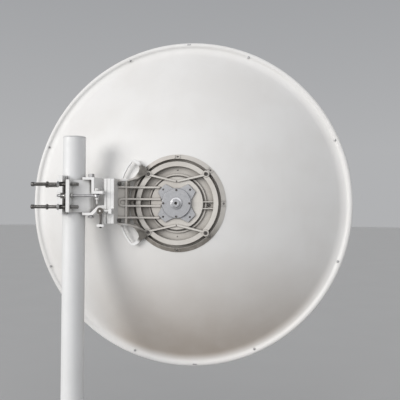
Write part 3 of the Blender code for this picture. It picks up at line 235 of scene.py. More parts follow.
class Shader:
    """A node tree for one material, with short calls for the nodes it is built from."""

    def __init__(self, name):
        self.material = bpy.data.materials.new(name)
        self.material.use_nodes = True
        self.nodes = self.material.node_tree.nodes
        self.links = self.material.node_tree.links
        self.surface = self.nodes["Principled BSDF"]
        self.place = self.nodes.new("ShaderNodeTexCoord").outputs["Object"]

    def link(self, source, target):
        self.links.new(source, target)

    def noise(self, scale, detail=3.0, stretch=EVEN):
        """Noise of so many cells to the metre, drawn out along an axis where stretch is small."""
        mapping = self.nodes.new("ShaderNodeMapping")
        mapping.inputs["Scale"].default_value = stretch
        self.link(self.place, mapping.inputs["Vector"])
        node = self.nodes.new("ShaderNodeTexNoise")
        node.inputs["Scale"].default_value = scale
        node.inputs["Detail"].default_value = detail
        self.link(mapping.outputs["Vector"], node.inputs["Vector"])
        return node.outputs["Fac"]

    def off_axis(self, x, z):
        """Distance from an axis along Y."""
        offset = self.nodes.new("ShaderNodeVectorMath")
        offset.operation = "SUBTRACT"
        offset.inputs[1].default_value = (x, 0.0, z)
        self.link(self.place, offset.inputs[0])
        flat = self.nodes.new("ShaderNodeVectorMath")
        flat.operation = "MULTIPLY"
        flat.inputs[1].default_value = (1.0, 0.0, 1.0)
        self.link(offset.outputs["Vector"], flat.inputs[0])
        length = self.nodes.new("ShaderNodeVectorMath")
        length.operation = "LENGTH"
        self.link(flat.outputs["Vector"], length.inputs[0])
        return length.outputs["Value"]

    def along(self, axis):
        """The place along X, Y or Z."""
        node = self.nodes.new("ShaderNodeSeparateXYZ")
        self.link(self.place, node.inputs["Vector"])
        return node.outputs[axis]

    def ring_lines(self, x, z, scale):
        """Fine lines round an axis along Y, as a lathe leaves them."""
        node = self.nodes.new("ShaderNodeTexNoise")
        node.noise_dimensions = "1D"
        node.inputs["Scale"].default_value = scale
        self.link(self.off_axis(x, z), node.inputs["W"])
        return node.outputs["Fac"]

    def remap(self, value, low, high, new_low=0.0, new_high=1.0):
        """The value eased from new_low at low to new_high at high."""
        node = self.nodes.new("ShaderNodeMapRange")
        node.interpolation_type = "SMOOTHSTEP"
        self.link(value, node.inputs["Value"])
        limits = {"From Min": low, "From Max": high, "To Min": new_low, "To Max": new_high}
        for name, number in limits.items():
            node.inputs[name].default_value = number
        return node.outputs["Result"]

    def spots(self, scale, detail, low, high, new_low=0.0, new_high=1.0, stretch=EVEN):
        """Noise cut to the part between low and high, as patches of new_low and new_high."""
        return self.remap(self.noise(scale, detail, stretch), low, high, new_low, new_high)

    def combine(self, operation, first, second):
        node = self.nodes.new("ShaderNodeMath")
        node.operation = operation
        node.use_clamp = True
        for value, socket in zip((first, second), node.inputs):
            if isinstance(value, float):
                socket.default_value = value
            else:
                self.link(value, socket)
        return node.outputs["Value"]

    def times(self, first, *others):
        for other in others:
            first = self.combine("MULTIPLY", first, other)
        return first

    def mix(self, factor, first, second):
        """The first colour where factor is 0, and the second where it is 1."""
        node = self.nodes.new("ShaderNodeMix")
        node.data_type = "RGBA"
        self.link(factor, node.inputs["Factor"])
        for value, socket in ((first, node.inputs["A"]), (second, node.inputs["B"])):
            if isinstance(value, tuple):
                socket.default_value = (*value, 1.0)
            else:
                self.link(value, socket)
        return node.outputs["Result"]

    def edges(self, radius):
        """How far a surface point is on an edge, and the normal with that edge rounded."""
        bevel = self.nodes.new("ShaderNodeBevel")
        bevel.samples = BEVEL_SAMPLES
        bevel.inputs["Radius"].default_value = radius
        flat = self.nodes.new("ShaderNodeNewGeometry").outputs["Normal"]
        dot = self.nodes.new("ShaderNodeVectorMath")
        dot.operation = "DOT_PRODUCT"
        self.link(bevel.outputs["Normal"], dot.inputs[0])
        self.link(flat, dot.inputs[1])
        return self.remap(dot.outputs["Value"], 0.975, 0.80), bevel.outputs["Normal"]

    def worn(self, colour, bare, radius, wear):
        """The colour with its edges worn to bare, and the normal with those edges rounded."""
        edge, rounded = self.edges(radius)
        return self.mix(self.times(edge, wear), colour, bare), rounded

    def hollows(self, reach, open_at=0.85, deep_at=0.25):
        """1 deep in a corner or recess, 0 in the open."""
        node = self.nodes.new("ShaderNodeAmbientOcclusion")
        node.samples = HOLLOW_SAMPLES
        node.inputs["Distance"].default_value = reach
        return self.remap(node.outputs["AO"], open_at, deep_at)

    def bump(self, height, strength, distance, normal):
        node = self.nodes.new("ShaderNodeBump")
        node.inputs["Strength"].default_value = strength
        node.inputs["Distance"].default_value = distance
        self.link(height, node.inputs["Height"])
        self.link(normal, node.inputs["Normal"])
        return node.outputs["Normal"]

    def finish(self, colour, roughness, normal):
        self.link(colour, self.surface.inputs["Base Color"])
        self.link(roughness, self.surface.inputs["Roughness"])
        self.link(normal, self.surface.inputs["Normal"])
        return self.material


def coated(name, colour, shade, hollow_shade, bare, roughness, grain, grain_height, edge, hollow_shade_amount,
           reach, low_shade=False):
    """Paint or powder coat: blotches, rain streaks, painted shade in corners, edges worn to bare.

    Where asked, a painted shade, warm as light from the ground, thickens downwards and to the right
    and is left off the rim.
    """
    s = Shader(name)
    colour_here = s.mix(s.spots(5.0, 4.0, 0.35, 0.70), colour, shade)
    colour_here = s.mix(s.spots(26.0, 3.0, 0.52, 0.74, 0.0, 0.35, ALONG_Z), colour_here, shade)
    if low_shade:
        # Painted shade towards the dish's bottom right, left off the rim
        rim_unshaded = s.remap(s.off_axis(DISH_X, DISH_Z), *UNSHADED_RIM, 1.0, 0.0)
        low_shade_mask = s.times(s.remap(s.along("Z"), *LOW_SHADE_DOWN), s.remap(s.along("X"), *LOW_SHADE_ACROSS),
                       rim_unshaded, s.spots(14.0, 4.0, 0.2, 0.7, 0.88, 1.0))
        colour_here = s.mix(low_shade_mask, colour_here, LOW_SHADE_COLOUR)
    # Painted shade in hollows and corners, patchy
    hollow_shading = s.times(s.hollows(reach), hollow_shade_amount, s.spots(90.0, 4.0, 0.25, 0.60, 0.65, 1.0))
    colour_here = s.mix(hollow_shading, colour_here, hollow_shade)
    wear = s.spots(160.0, 5.0, 0.48, 0.68, 0.10, 0.75)
    colour_here, rounded = s.worn(colour_here, bare, edge, wear)
    rough = s.spots(60.0, 5.0, 0.3, 0.7, roughness - 0.07, roughness + 0.09)
    return s.finish(colour_here, rough, s.bump(s.noise(grain, 2.0), 0.35, grain_height, rounded))


def beside(s, left, apart):
    """Distance from the nearer of two places left of the dish's axis, below and above it."""
    below, above = (s.off_axis(DISH_X - left, DISH_Z + side * apart) for side in (-1, 1))
    return s.combine("MINIMUM", below, above)


def cast(name, colour, shade, hollow_shade, bare, plate_paint_and_ear_light, roughness):
    """Sand-cast and painted: rough grain, painted shade in the pockets and corners, and a clean
    plate at the joint.

    Painted shade also lies on the lower half of the flange and where the ears meet the ring. The
    ears' outer ends get painted light in the plate's colour.
    """
    s = Shader(name)
    radius = s.off_axis(DISH_X, DISH_Z)
    uneven = s.spots(55.0, 4.0, 0.25, 0.6, 0.75, 1.0)
    colour_here = s.mix(s.spots(9.0, 5.0, 0.35, 0.70), colour, shade)
    # Painted shade in the pockets, little on the drum and halved past the groove
    wide = s.times(s.hollows(0.050, 0.95, 0.38), s.remap(radius, *POCKET_SHADE_FROM, 0.10, POCKET_SHADE),
                   s.remap(radius, *GROOVE, 1.0, 0.5))
    colour_here = s.mix(wide, colour_here, hollow_shade)
    # Painted shade in tight corners
    narrow = s.times(s.hollows(0.008, 0.85, 0.30), s.spots(120.0, 4.0, 0.2, 0.6, 0.35, 0.75))
    colour_here = s.mix(narrow, colour_here, hollow_shade)
    # Painted shade on the flange's lower half
    flange = s.times(s.remap(radius, *FLANGE_SHADE_IN), s.remap(s.along("Z"), *FLANGE_SHADE_DOWN),
                     uneven)
    colour_here = s.mix(flange, colour_here, LOW_FLANGE_SHADE)
    # Painted shade where the ears meet the ring
    foot = s.times(s.remap(beside(s, *EAR_FOOT), *EAR_FOOT_REACH), uneven)
    colour_here = s.mix(foot, colour_here, EAR_FOOT_SHADE)
    # Painted light on the ears' outer ends, in the plate's colour
    ear_light = s.times(s.remap(beside(s, *EAR_LOOP), *EAR_LOOP_REACH),
                   s.remap(radius, *EAR_LOOP_FROM))
    colour_here = s.mix(ear_light, colour_here, plate_paint_and_ear_light)
    plate = s.remap(s.along("X"), PLATE_EDGE_X, PLATE_EDGE_X - PLATE_EDGE_FADE)
    colour_here = s.mix(plate, colour_here, plate_paint_and_ear_light)
    wear = s.spots(160.0, 5.0, 0.48, 0.68, 0.15, 0.70)
    colour_here, rounded = s.worn(colour_here, bare, 0.0013, wear)
    rough = s.spots(80.0, 5.0, 0.3, 0.7, roughness - 0.06, roughness + 0.12)
    return s.finish(colour_here, rough, s.bump(s.noise(620.0, 3.0), 0.40, 0.00035, rounded))


def metal(name, colour, shade, hollow_shade, bright, roughness, stretch, edge, hollow_shade_amount, reach,
          metallic=1.0):
    """Bare metal: dull patches, painted shade in corners, edges rubbed bright, and lines that the
    making left.

    The lines are drawn ones along an axis, or with no stretch turned ones round the dish's axis.
    """
    s = Shader(name)
    s.surface.inputs["Metallic"].default_value = metallic
    lines = s.noise(900.0, 3.0, stretch) if stretch else s.ring_lines(DISH_X, DISH_Z, 700.0)
    patch = s.spots(38.0, 5.0, 0.38, 0.66)
    colour_here = s.mix(patch, colour, shade)
    colour_here = s.mix(s.remap(lines, 0.35, 0.75, 0.0, 0.35), colour_here, shade)
    # Painted shade in hollows and corners
    colour_here = s.mix(s.times(s.hollows(reach), hollow_shade_amount), colour_here, hollow_shade)
    wear = s.spots(220.0, 4.0, 0.40, 0.62, 0.2, 0.8)
    colour_here, rounded = s.worn(colour_here, bright, edge, wear)
    rough = s.remap(patch, 0.0, 1.0, roughness - 0.06, roughness + 0.10)
    return s.finish(colour_here, rough, s.bump(lines, 0.22, 0.00012, rounded))


# Finishes. The first eight are the record's material slots, and the last four are further surfaces
# that small metal pieces ask for by name
# In each finish, the colour laid in hollows and corners is painted shade
FINISHES = {
    "dish_paint": coated(
        "dish_powder_coat", colour=(0.83, 0.82, 0.805), shade=(0.79, 0.775, 0.755),
        hollow_shade=(0.45, 0.42, 0.38), bare=(0.60, 0.59, 0.57), roughness=0.46, grain=1100.0,
        grain_height=0.00012, edge=0.0012, hollow_shade_amount=0.35, reach=0.014, low_shade=True),
    "mast_paint": coated(
        "mast_powder_coat", colour=(0.83, 0.83, 0.83), shade=(0.79, 0.79, 0.785),
        hollow_shade=(0.20, 0.19, 0.175), bare=(0.60, 0.60, 0.60), roughness=0.40, grain=900.0,
        grain_height=0.00014, edge=0.0012, hollow_shade_amount=0.70, reach=0.024),
    "bracket_paint": coated(
        "bracket_powder_coat", colour=(0.88, 0.875, 0.865), shade=(0.83, 0.82, 0.80),
        hollow_shade=(0.15, 0.14, 0.125), bare=(0.66, 0.65, 0.63), roughness=0.42, grain=800.0,
        grain_height=0.00020, edge=0.0011, hollow_shade_amount=0.85, reach=0.020),
    "cast_paint": cast(
        "hub_cast_paint", colour=(0.68, 0.65, 0.605), shade=(0.60, 0.565, 0.52),
        hollow_shade=(0.085, 0.070, 0.056), bare=(0.86, 0.84, 0.80), plate_paint_and_ear_light=(0.86, 0.855, 0.845),
        roughness=0.50),
    "cap_plastic": coated(
        "cap_plastic", colour=(0.76, 0.76, 0.75), shade=(0.71, 0.71, 0.70),
        hollow_shade=(0.30, 0.28, 0.26), bare=(0.80, 0.80, 0.79), roughness=0.55, grain=700.0,
        grain_height=0.00010, edge=0.0010, hollow_shade_amount=0.40, reach=0.015),
    "feed_plastic": coated(
        "feed_plastic", colour=(0.80, 0.79, 0.76), shade=(0.74, 0.725, 0.69),
        hollow_shade=(0.40, 0.37, 0.33), bare=(0.84, 0.83, 0.81), roughness=0.52, grain=700.0,
        grain_height=0.00008, edge=0.0010, hollow_shade_amount=0.45, reach=0.015),
    "bare_plate": metal(
        "turned_aluminium", colour=(0.60, 0.60, 0.615), shade=(0.43, 0.435, 0.45),
        hollow_shade=(0.12, 0.12, 0.13), bright=(0.90, 0.91, 0.92), roughness=0.36, stretch=None,
        edge=0.0007, hollow_shade_amount=0.75, reach=0.010, metallic=0.80),
    "stainless": metal(
        "dulled_stainless", colour=(0.26, 0.25, 0.24), shade=(0.15, 0.142, 0.134),
        hollow_shade=(0.03, 0.027, 0.024), bright=(0.66, 0.65, 0.63), roughness=0.34, stretch=ALONG_X,
        edge=0.0006, hollow_shade_amount=0.95, reach=0.012),
    "zinc_steel": metal(
        "zinc_steel", colour=(0.62, 0.615, 0.62), shade=(0.47, 0.465, 0.47),
        hollow_shade=(0.06, 0.056, 0.054), bright=(0.86, 0.855, 0.85), roughness=0.36, stretch=ALONG_X,
        edge=0.0006, hollow_shade_amount=0.80, reach=0.008),
    "bright_steel": metal(
        "bright_steel", colour=(0.86, 0.85, 0.83), shade=(0.66, 0.65, 0.63),
        hollow_shade=(0.10, 0.095, 0.09), bright=(0.94, 0.93, 0.92), roughness=0.34, stretch=ALONG_X,
        edge=0.0006, hollow_shade_amount=0.75, reach=0.007, metallic=0.55),
    "polished_steel": metal(
        "polished_steel", colour=(0.80, 0.79, 0.77), shade=(0.60, 0.59, 0.57),
        hollow_shade=(0.05, 0.046, 0.042), bright=(0.96, 0.95, 0.94), roughness=0.20, stretch=ALONG_X,
        edge=0.0004, hollow_shade_amount=0.95, reach=0.012),
    # Dark steel, also used as painted shade inside the waveguide's throat
    "dark_steel_and_hole_shade": metal(
        "oxidised_steel_and_hole_shade", colour=(0.20, 0.185, 0.175), shade=(0.12, 0.11, 0.10),
        hollow_shade=(0.02, 0.018, 0.016), bright=(0.60, 0.59, 0.57), roughness=0.40, stretch=ALONG_Z,
        edge=0.0006, hollow_shade_amount=0.80, reach=0.008),
}


# Mesh helpers: parts are (points, faces) about a local Z axis

def turned(section_at, steps, closed=True):
    """A section of (radius, along) points carried round the axis. It may change with the angle."""
    points, faces = [], []
    for i in range(steps):
        angle = 2 * pi * i / steps
        section = section_at(angle)
        points += [(r * cos(angle), r * sin(angle), z) for r, z in section]
    count = len(section)
    for i in range(steps):
        here, beyond = i * count, (i + 1) % steps * count
        for k in range(count if closed else count - 1):
            following = (k + 1) % count
            faces.append((here + k, beyond + k, beyond + following, here + following))
    return points, faces


def lathe(section, steps=48, closed=False):
    return turned(lambda angle: section, steps, closed)


def hexagon_radius(angle, corner):
    return corner * cos(pi / 6) / cos((angle % (pi / 3)) - pi / 6)


def hexagon(angle, corner):
    """Radius of a hexagon, the radius where its chamfer starts, and how far that falls."""
    outer = hexagon_radius(angle, corner)
    start = corner * cos(pi / 6) * CHAMFER_START
    return outer, start, (outer - start) * tan(CHAMFER)


def hex_nut(corner, length, bore):
    """A chamfered hexagon nut from 0 to length, with a countersunk bore."""
    sink = min(MOST_SINK, bore * 0.12)

    def section(angle):
        outer, start, fall = hexagon(angle, corner)
        return [(bore, sink), (bore + sink, 0.0), (start, 0.0), (outer, fall),
                (outer, length - fall), (start, length), (bore + sink, length),
                (bore, length - sink)]

    return turned(section, NUT_SIDES)


def hex_head(corner, length):
    """A hexagon head from 0 to length, chamfered on its far side."""

    def section(angle):
        outer, start, fall = hexagon(angle, corner)
        return [(0.0, 0.0), (outer, 0.0), (outer, length - fall), (start, length), (0.0, length)]

    return turned(section, NUT_SIDES, closed=False)


def cap_nut(corner, length, bore):
    """A hexagon nut with a domed end at 0, on a flat washer at length."""
    half_flat = corner * cos(pi / 6)
    washer_radius = corner * 1.02
    dome, nut_end, washer_start = length * 0.42, length - 0.0016, length - 0.0015

    def section(angle):
        outer, start, fall = hexagon(angle, corner)
        quarter = [t * pi / 12 for t in (4, 3, 2, 1, 0)]
        rise = [(half_flat * 0.90 * cos(t), dome * (1 - 0.55 * sin(t))) for t in quarter]
        return [(bore, dome * 0.40), *rise, (start, dome), (outer, dome + fall), (outer, nut_end),
                (half_flat * 0.99, nut_end), (washer_radius, washer_start), (washer_radius, length),
                (bore, length)]

    return turned(section, NUT_SIDES)


def washer(radius, bore, thickness):
    soft = thickness * 0.25
    return lathe([(bore, 0.0), (radius - soft, 0.0), (radius, soft), (radius, thickness - soft),
                  (radius - soft, thickness), (bore, thickness)], ROUND_SIDES, closed=True)


def threaded(length, radius, pitch):
    """A rod from 0 to length with a helical thread and chamfered ends."""
    depth = pitch * THREAD_DEPTH
    rings = int(length / (pitch / 4))
    points, faces = [], []
    for i in range(rings + 1):
        along = length * i / rings
        end = min(along, length - along)
        limit = radius - max(0.0, pitch - end) * THREAD_TAPER
        for k in range(THREAD_SIDES):
            angle = 2 * pi * k / THREAD_SIDES
            turn = (along / pitch - k / THREAD_SIDES) % 1.0
            here = min(radius - depth * abs(2 * turn - 1), limit)
            points.append((here * cos(angle), here * sin(angle), along))
    for i in range(rings):
        for k in range(THREAD_SIDES):
            j = (k + 1) % THREAD_SIDES
            a, b = i * THREAD_SIDES, (i + 1) * THREAD_SIDES
            faces.append((a + k, a + j, b + j, b + k))
    faces.append(tuple(reversed(range(THREAD_SIDES))))
    faces.append(tuple(range(rings * THREAD_SIDES, (rings + 1) * THREAD_SIDES)))
    return points, faces


def pan_screw(radius, height):
    """A domed head with a round dimple in place of its recess."""
    quarter = [t * pi / 12 for t in range(5)]
    rise = [(radius * cos(t), height * (0.35 + 0.65 * sin(t))) for t in quarter]
    return lathe([(0.0, 0.0), (radius, 0.0), *rise, (radius * 0.34, height * 0.97),
                  (radius * 0.26, height * 0.55), (0.0, height * 0.50)], 28)


def socket_screw(radius, height):
    """A cylindrical head with a hexagon socket."""
    soft = height * 0.12

    def section(angle):
        socket = hexagon_radius(angle, radius * 0.56)
        return [(0.0, 0.0), (radius, 0.0), (radius, height - soft), (radius - soft, height),
                (socket, height), (socket * 0.97, height * 0.35), (0.0, height * 0.30)]

    return turned(section, 36, closed=False)


def moved(part, centre, turn=Matrix.Identity(3)):
    """The part turned about its own origin, which then goes to centre."""
    points, faces = part
    return [turn @ Vector(p) + Vector(centre) for p in points], faces


def placed(part, axis, centre, reverse=False):
    """The part with its axis along X, Y or Z, starting at centre, and pointing back if reversed."""
    flip = Matrix(((1, 0, 0), (0, -1, 0), (0, 0, -1))) if reverse else Matrix.Identity(3)
    return moved(part, centre, TO_AXIS[axis] @ flip)


def bar(size):
    """A rounded bar centred on the origin, from its full sizes."""
    work = bmesh.new()
    bmesh.ops.create_cube(work, size=1.0)
    bmesh.ops.scale(work, vec=size, verts=work.verts)
    bmesh.ops.bevel(work, geom=work.edges[:], offset=min(size) * BAR_ROUNDING, segments=3,
                    affect="EDGES")
    work.verts.ensure_lookup_table()
    points = [tuple(v.co) for v in work.verts]
    faces = [tuple(v.index for v in face.verts) for face in work.faces]
    work.free()
    return points, faces


def piece(name, parts, slot_name, body, replaced=(), sharp=SHARP, finish=None):
    """One mesh object from placed parts, on a body. Its finish is the slot's unless it is named."""
    mesh = bpy.data.meshes.new(name)
    points, faces = [], []
    for part_points, part_faces in parts:
        start = len(points)
        points += part_points
        faces += [tuple(start + index for index in face) for face in part_faces]
    mesh.from_pydata([tuple(p) for p in points], [], faces)
    work = bmesh.new()
    work.from_mesh(mesh)
    bmesh.ops.remove_doubles(work, verts=work.verts, dist=SAME_PLACE)
    bmesh.ops.dissolve_degenerate(work, edges=work.edges, dist=SAME_PLACE / 2)
    bmesh.ops.recalc_face_normals(work, faces=work.faces)
    for face in work.faces:
        face.smooth = True
    work.to_mesh(mesh)
    work.free()
    mesh.set_sharp_from_angle(angle=sharp)
    item = bpy.data.objects.new(name, mesh)
    bpy.context.scene.collection.objects.link(item)
    item.data.materials.append(FINISHES[finish or slot_name])
    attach(item, body)
    if replaced:
        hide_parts(*replaced)


def measured(node):
    """Lowest corner, highest corner and middle of a node."""
    low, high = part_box(node)
    return low, high, (low + high) / 2


def on_dish(radius, angle, y):
    """A place at an angle round the dish's axis."""
    return DISH_X + radius * cos(angle), y, DISH_Z + radius * sin(angle)


# Reflector: spun sheet that flares into a rolled rim bead, with its screws and tabs

def sheet_back():
    """Back of the sheet as (radius, Y, slope), out to the valley at the foot of the bead."""
    places = []
    for i in range(SHEET_RINGS + 1):
        radius = HOLE_RADIUS + (FLARE_RADIUS - HOLE_RADIUS) * i / SHEET_RINGS
        y = VERTEX_Y + radius * radius / (4 * FOCAL_LENGTH)
        places.append((radius, y, radius / (2 * FOCAL_LENGTH)))
    width = VALLEY_RADIUS - FLARE_RADIUS
    _, start_y, start_slope = places[-1]
    for i in range(1, FLARE_RINGS + 1):
        share = i / FLARE_RINGS
        y = start_y + start_slope * width * (share - share * share / 2)
        places.append((FLARE_RADIUS + width * share, y, start_slope * (1 - share)))
    return places


VALLEY_Y = sheet_back()[-1][1]


def reflector_section():
    """The back of the sheet outwards, round the bead, and the front of the sheet inwards."""
    back, front = [], []
    for radius, y, slope in sheet_back():
        length = sqrt(1 + slope * slope)
        back.append((radius, y))
        front.append((radius - SHEET * slope / length, y + SHEET / length))
    middle = VALLEY_Y + (BEAD_DROP - BEAD_RISE) / 2
    half_height = (BEAD_DROP + BEAD_RISE) / 2
    bead = []
    for i in range(BEAD_RINGS + 1):
        angle = BEAD_ARC * (2 * i / BEAD_RINGS - 1)
        bead.append((BEAD_RADIUS + BEAD_HALF_WIDTH * cos(angle), middle + half_height * sin(angle)))
    return back + bead + front[::-1]


def screw_with_washer(seat, size, shape=pan_screw):
    """A screw head on a washer, both standing off the seat towards the back."""
    radius, height = size
    x, y, z = seat
    return [placed(washer(radius * 1.3, radius * 0.5, SCREW_WASHER), "Y", seat, reverse=True),
            placed(shape(radius, height), "Y", (x, y - SCREW_WASHER_TOP, z), reverse=True)]


def rim_angle(even):
    """The angle of a rim fitting, a little off even spacing as in the photograph."""
    return even + RIM_TURN - RIM_DRIFT * sin(even)


def build_reflector():
    skin = placed(lathe(reflector_section(), DISH_STEPS, closed=True), "Y", (DISH_X, 0.0, DISH_Z))
    piece("reflector_skin", [skin], "dish_paint", "antenna", ["reflector"], SHEET_SHARP)
    screws = []
    for i in range(RIM_SCREWS):
        angle = rim_angle(pi / RIM_SCREWS * (2 * i + 1))
        seat = on_dish(RIM_SCREW_RADIUS, angle, VALLEY_Y - RIM_SCREW_SINK)
        screws += screw_with_washer(seat, RIM_SCREW)
    piece("rim_screws", screws, "stainless", "antenna", finish="zinc_steel")
    tab_y = VALLEY_Y - BEAD_RISE + TAB_SIZE[1] * 0.25
    tabs = [moved(bar(TAB_SIZE), on_dish(TAB_RADIUS, rim_angle(side * pi / 2), tab_y))
            for side in (-1, 1)]
    piece("rim_tabs", tabs, "stainless", "antenna", finish="zinc_steel")


build_reflector()


# Clamp rods, nuts, bolts and pins

def build_clamp_rods():
    cap_length, cap_chamfer, cap_lip, cap_bore = ROD_CAP
    for label in ("near_upper", "near_lower", "far_upper", "far_lower"):
        low, high, middle = measured("clamp_rod_" + label)
        radius = (high.z - low.z) / 2
        thread = threaded(high.x - low.x - ROD_THREAD_START, BOLT_RADIUS, M12_PITCH)
        cap = lathe([(0.0, 0.0), (radius - cap_chamfer, 0.0), (radius, cap_chamfer),
                     (radius, cap_length - cap_lip), (radius - cap_lip, cap_length),
                     (cap_bore, cap_length)], ROUND_SIDES)
        parts = [placed(thread, "X", (low.x + ROD_THREAD_START, middle.y, middle.z)),
                 placed(cap, "X", (low.x, middle.y, middle.z))]
        piece("threaded_rod_" + label, parts, "stainless", "mast", ["clamp_rod_" + label])


def build_nuts():
    names = [kind + "_" + side + "_" + height for kind in ("clamp_nut", "spare_nut")
             for side in ("near", "far") for height in ("upper", "lower")]
    for name in names:
        low, high, middle = measured(name)
        corner = max(high.y - low.y, high.z - low.z) / 2
        nut = hex_nut(corner, high.x - low.x, BOLT_RADIUS + THREAD_FIT)
        finish = "polished_steel" if name.startswith("clamp") else "stainless"
        piece("hex_" + name, [placed(nut, "X", (low.x, middle.y, middle.z))], "stainless", "mast",
              [name], finish=finish)


def build_adjuster():
    for name, shape in (("adjuster_nut_left", cap_nut), ("adjuster_nut_right", hex_nut)):
        low, high, middle = measured(name)
        nut = shape((high.z - low.z) / 2, high.x - low.x, ADJUSTER_RADIUS + ADJUSTER_FIT)
        piece("hex_" + name, [placed(nut, "X", (low.x, middle.y, middle.z))], "stainless", "mast",
              [name], finish="polished_steel")
    low, high, middle = measured("adjuster_rod")
    eye_radius, eye_half = ADJUSTER_EYE
    eye_x = high.x - eye_radius
    thread = threaded(eye_x - eye_radius * 0.85 - low.x, ADJUSTER_RADIUS, M8_PITCH)
    eye = washer(eye_radius, PIN_RADIUS + THREAD_FIT, 2 * eye_half)
    parts = [placed(thread, "X", (low.x, middle.y, middle.z)),
             placed(eye, "Z", (eye_x, middle.y, middle.z - eye_half))]
    piece("threaded_adjuster_rod", parts, "stainless", "azimuth_adjuster", ["adjuster_rod"],
          finish="zinc_steel")


def bolt(axis, centre, head_end, tail_end, head, tail, radius, pitch):
    """A hexagon bolt between two places on an axis, with a washer under its head and its nut."""
    along = "XYZ".index(axis)
    outward = 1 if head_end > tail_end else -1
    head_radius, head_height = head
    nut_radius, nut_height, shown = tail

    def at(part, place):
        where = list(centre)
        where[along] = place
        return placed(part, axis, where, reverse=outward < 0)

    seat = head_end - outward * head_height
    return [at(hex_head(head_radius, head_height - WASHER), seat + outward * WASHER),
            at(washer(head_radius * WASHER_SPREAD, radius * 0.9, WASHER), seat),
            at(threaded(abs(seat - tail_end) + WASHER, radius, pitch), tail_end),
            at(hex_nut(nut_radius, nut_height, radius * 0.95), tail_end + outward * shown)]


def build_bolts():
    low, high, middle = measured("azimuth_pivot_bolt")
    parts = bolt("Z", middle, high.z, low.z, BOLT_HEAD, BOLT_TAIL, BOLT_RADIUS, M12_PITCH)
    piece("hex_azimuth_pivot_bolt", parts, "stainless", "azimuth", ["azimuth_pivot_bolt"],
          finish="zinc_steel")
    low, high, middle = measured("adjuster_pin")
    parts = bolt("Z", middle, high.z, low.z, PIN_HEAD, PIN_TAIL, PIN_RADIUS, M8_PITCH)
    piece("hex_adjuster_pin", parts, "stainless", "azimuth", ["adjuster_pin"],
          finish="bright_steel")
    for name in ("lock_bolt_upper", "lock_bolt_lower"):
        low, high, middle = measured(name)
        parts = bolt("X", middle, low.x, high.x, LOCK_HEAD, LOCK_TAIL, LOCK_RADIUS, M8_PITCH)
        piece("hex_" + name, parts, "stainless", "antenna", [name])


def build_elevation_screw():
    """The eye on its stud, a washer that covers the eye, and in front of it the end of the pin."""
    low, high, middle = measured("elevation_screw")
    eye_radius, eye_half = STUD_EYE
    eye_z = high.z - eye_radius
    hollow = EYE_EDGE / 2
    eye = lathe([(0.0, hollow), (eye_radius * 0.42, hollow), (eye_radius * 0.46, 0.0),
                 (eye_radius - EYE_EDGE, 0.0), (eye_radius, EYE_EDGE),
                 (eye_radius, 2 * eye_half - EYE_EDGE), (eye_radius - EYE_EDGE, 2 * eye_half),
                 (0.0, 2 * eye_half)])
    stud = threaded(eye_z - eye_radius * 0.6 - low.z, STUD_RADIUS, M8_PITCH)
    cover = washer(EYE_WASHER_RADIUS, eye_radius * 0.30, WASHER)
    front_y = middle.y - eye_half
    cover_y = front_y - WASHER * 0.8
    parts = [placed(eye, "Y", (middle.x, front_y, eye_z)),
             placed(stud, "Z", (middle.x, middle.y, low.z)),
             placed(cover, "Y", (middle.x, cover_y, eye_z))]
    piece("threaded_elevation_screw", parts, "stainless", "elevation_adjuster", ["elevation_screw"],
          finish="dark_steel_and_hole_shade")
    end = lathe([(0.0, 0.0), (eye_radius * 0.30, 0.0), (eye_radius * 0.38, 0.0008),
                 (eye_radius * 0.38, 0.0022), (0.0, 0.0022)], 32)
    piece("elevation_screw_pin_end", [placed(end, "Y", (middle.x, cover_y - 0.0008, eye_z))],
          "stainless", "elevation_adjuster", finish="bright_steel")


def build_elevation_pin():
    low, high, middle = measured("elevation_pin")
    length = high.x - low.x
    radius, height = HOOK_PIN_HEAD
    pin = lathe([(0.0, 0.0), (radius * 0.6, 0.0), (radius, height * 0.4), (radius, height),
                 (STUD_RADIUS, height), (STUD_RADIUS, length - HOOK_PIN_EDGE),
                 (STUD_RADIUS - HOOK_PIN_EDGE, length), (0.0, length)], ROUND_SIDES)
    piece("turned_elevation_pin", [placed(pin, "X", (low.x, middle.y, middle.z))], "stainless",
          "antenna", ["elevation_pin"], finish="bright_steel")


def build_mast_weld():
    """The rippled bead that joins the tube to its foot."""
    low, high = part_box("mast_tube")
    radius = (high.x - low.x) / 2
    inside = radius - WELD_SINK

    def section(angle):
        bead = WELD_RADIUS * (1.0 + WELD_RIPPLE * sin(angle * WELD_RIPPLES))
        quarter = [i * pi / 12 for i in range(7)]
        return [(inside, 0.0), *[(radius + bead * cos(t), bead * sin(t)) for t in quarter],
                (inside, WELD_RADIUS)]

    weld = placed(turned(section, WELD_STEPS), "Z", (0.0, 0.0, low.z))
    piece("mast_weld", [weld], "mast_paint", "mast")


build_clamp_rods()
build_nuts()
build_adjuster()
build_bolts()
build_elevation_screw()
build_elevation_pin()
build_mast_weld()


# Hub and feed details

def flange_mark(angle):
    """Two short lugs and a small screw between them, square to the flange's slope."""
    outward = Vector((cos(angle), 0.0, sin(angle)))
    down_slope = outward * cos(FLANGE_LEAN) + Vector((0.0, sin(FLANGE_LEAN), 0.0))
    off_slope = outward * sin(FLANGE_LEAN) - Vector((0.0, cos(FLANGE_LEAN), 0.0))
    across = off_slope.cross(down_slope)
    turn = Matrix((down_slope, across, off_slope)).transposed()
    seat = Vector(on_dish(FLANGE_MARK_RADIUS, angle, FLANGE_MARK_Y))
    lugs = [moved(bar(FLANGE_LUG), seat + across * side * FLANGE_LUG_SPREAD, turn)
            for side in (-1, 1)]
    screw = [moved(part, seat, turn) for part in (washer(*FLANGE_WASHER), pan_screw(*FLANGE_SCREW))]
    return lugs, screw


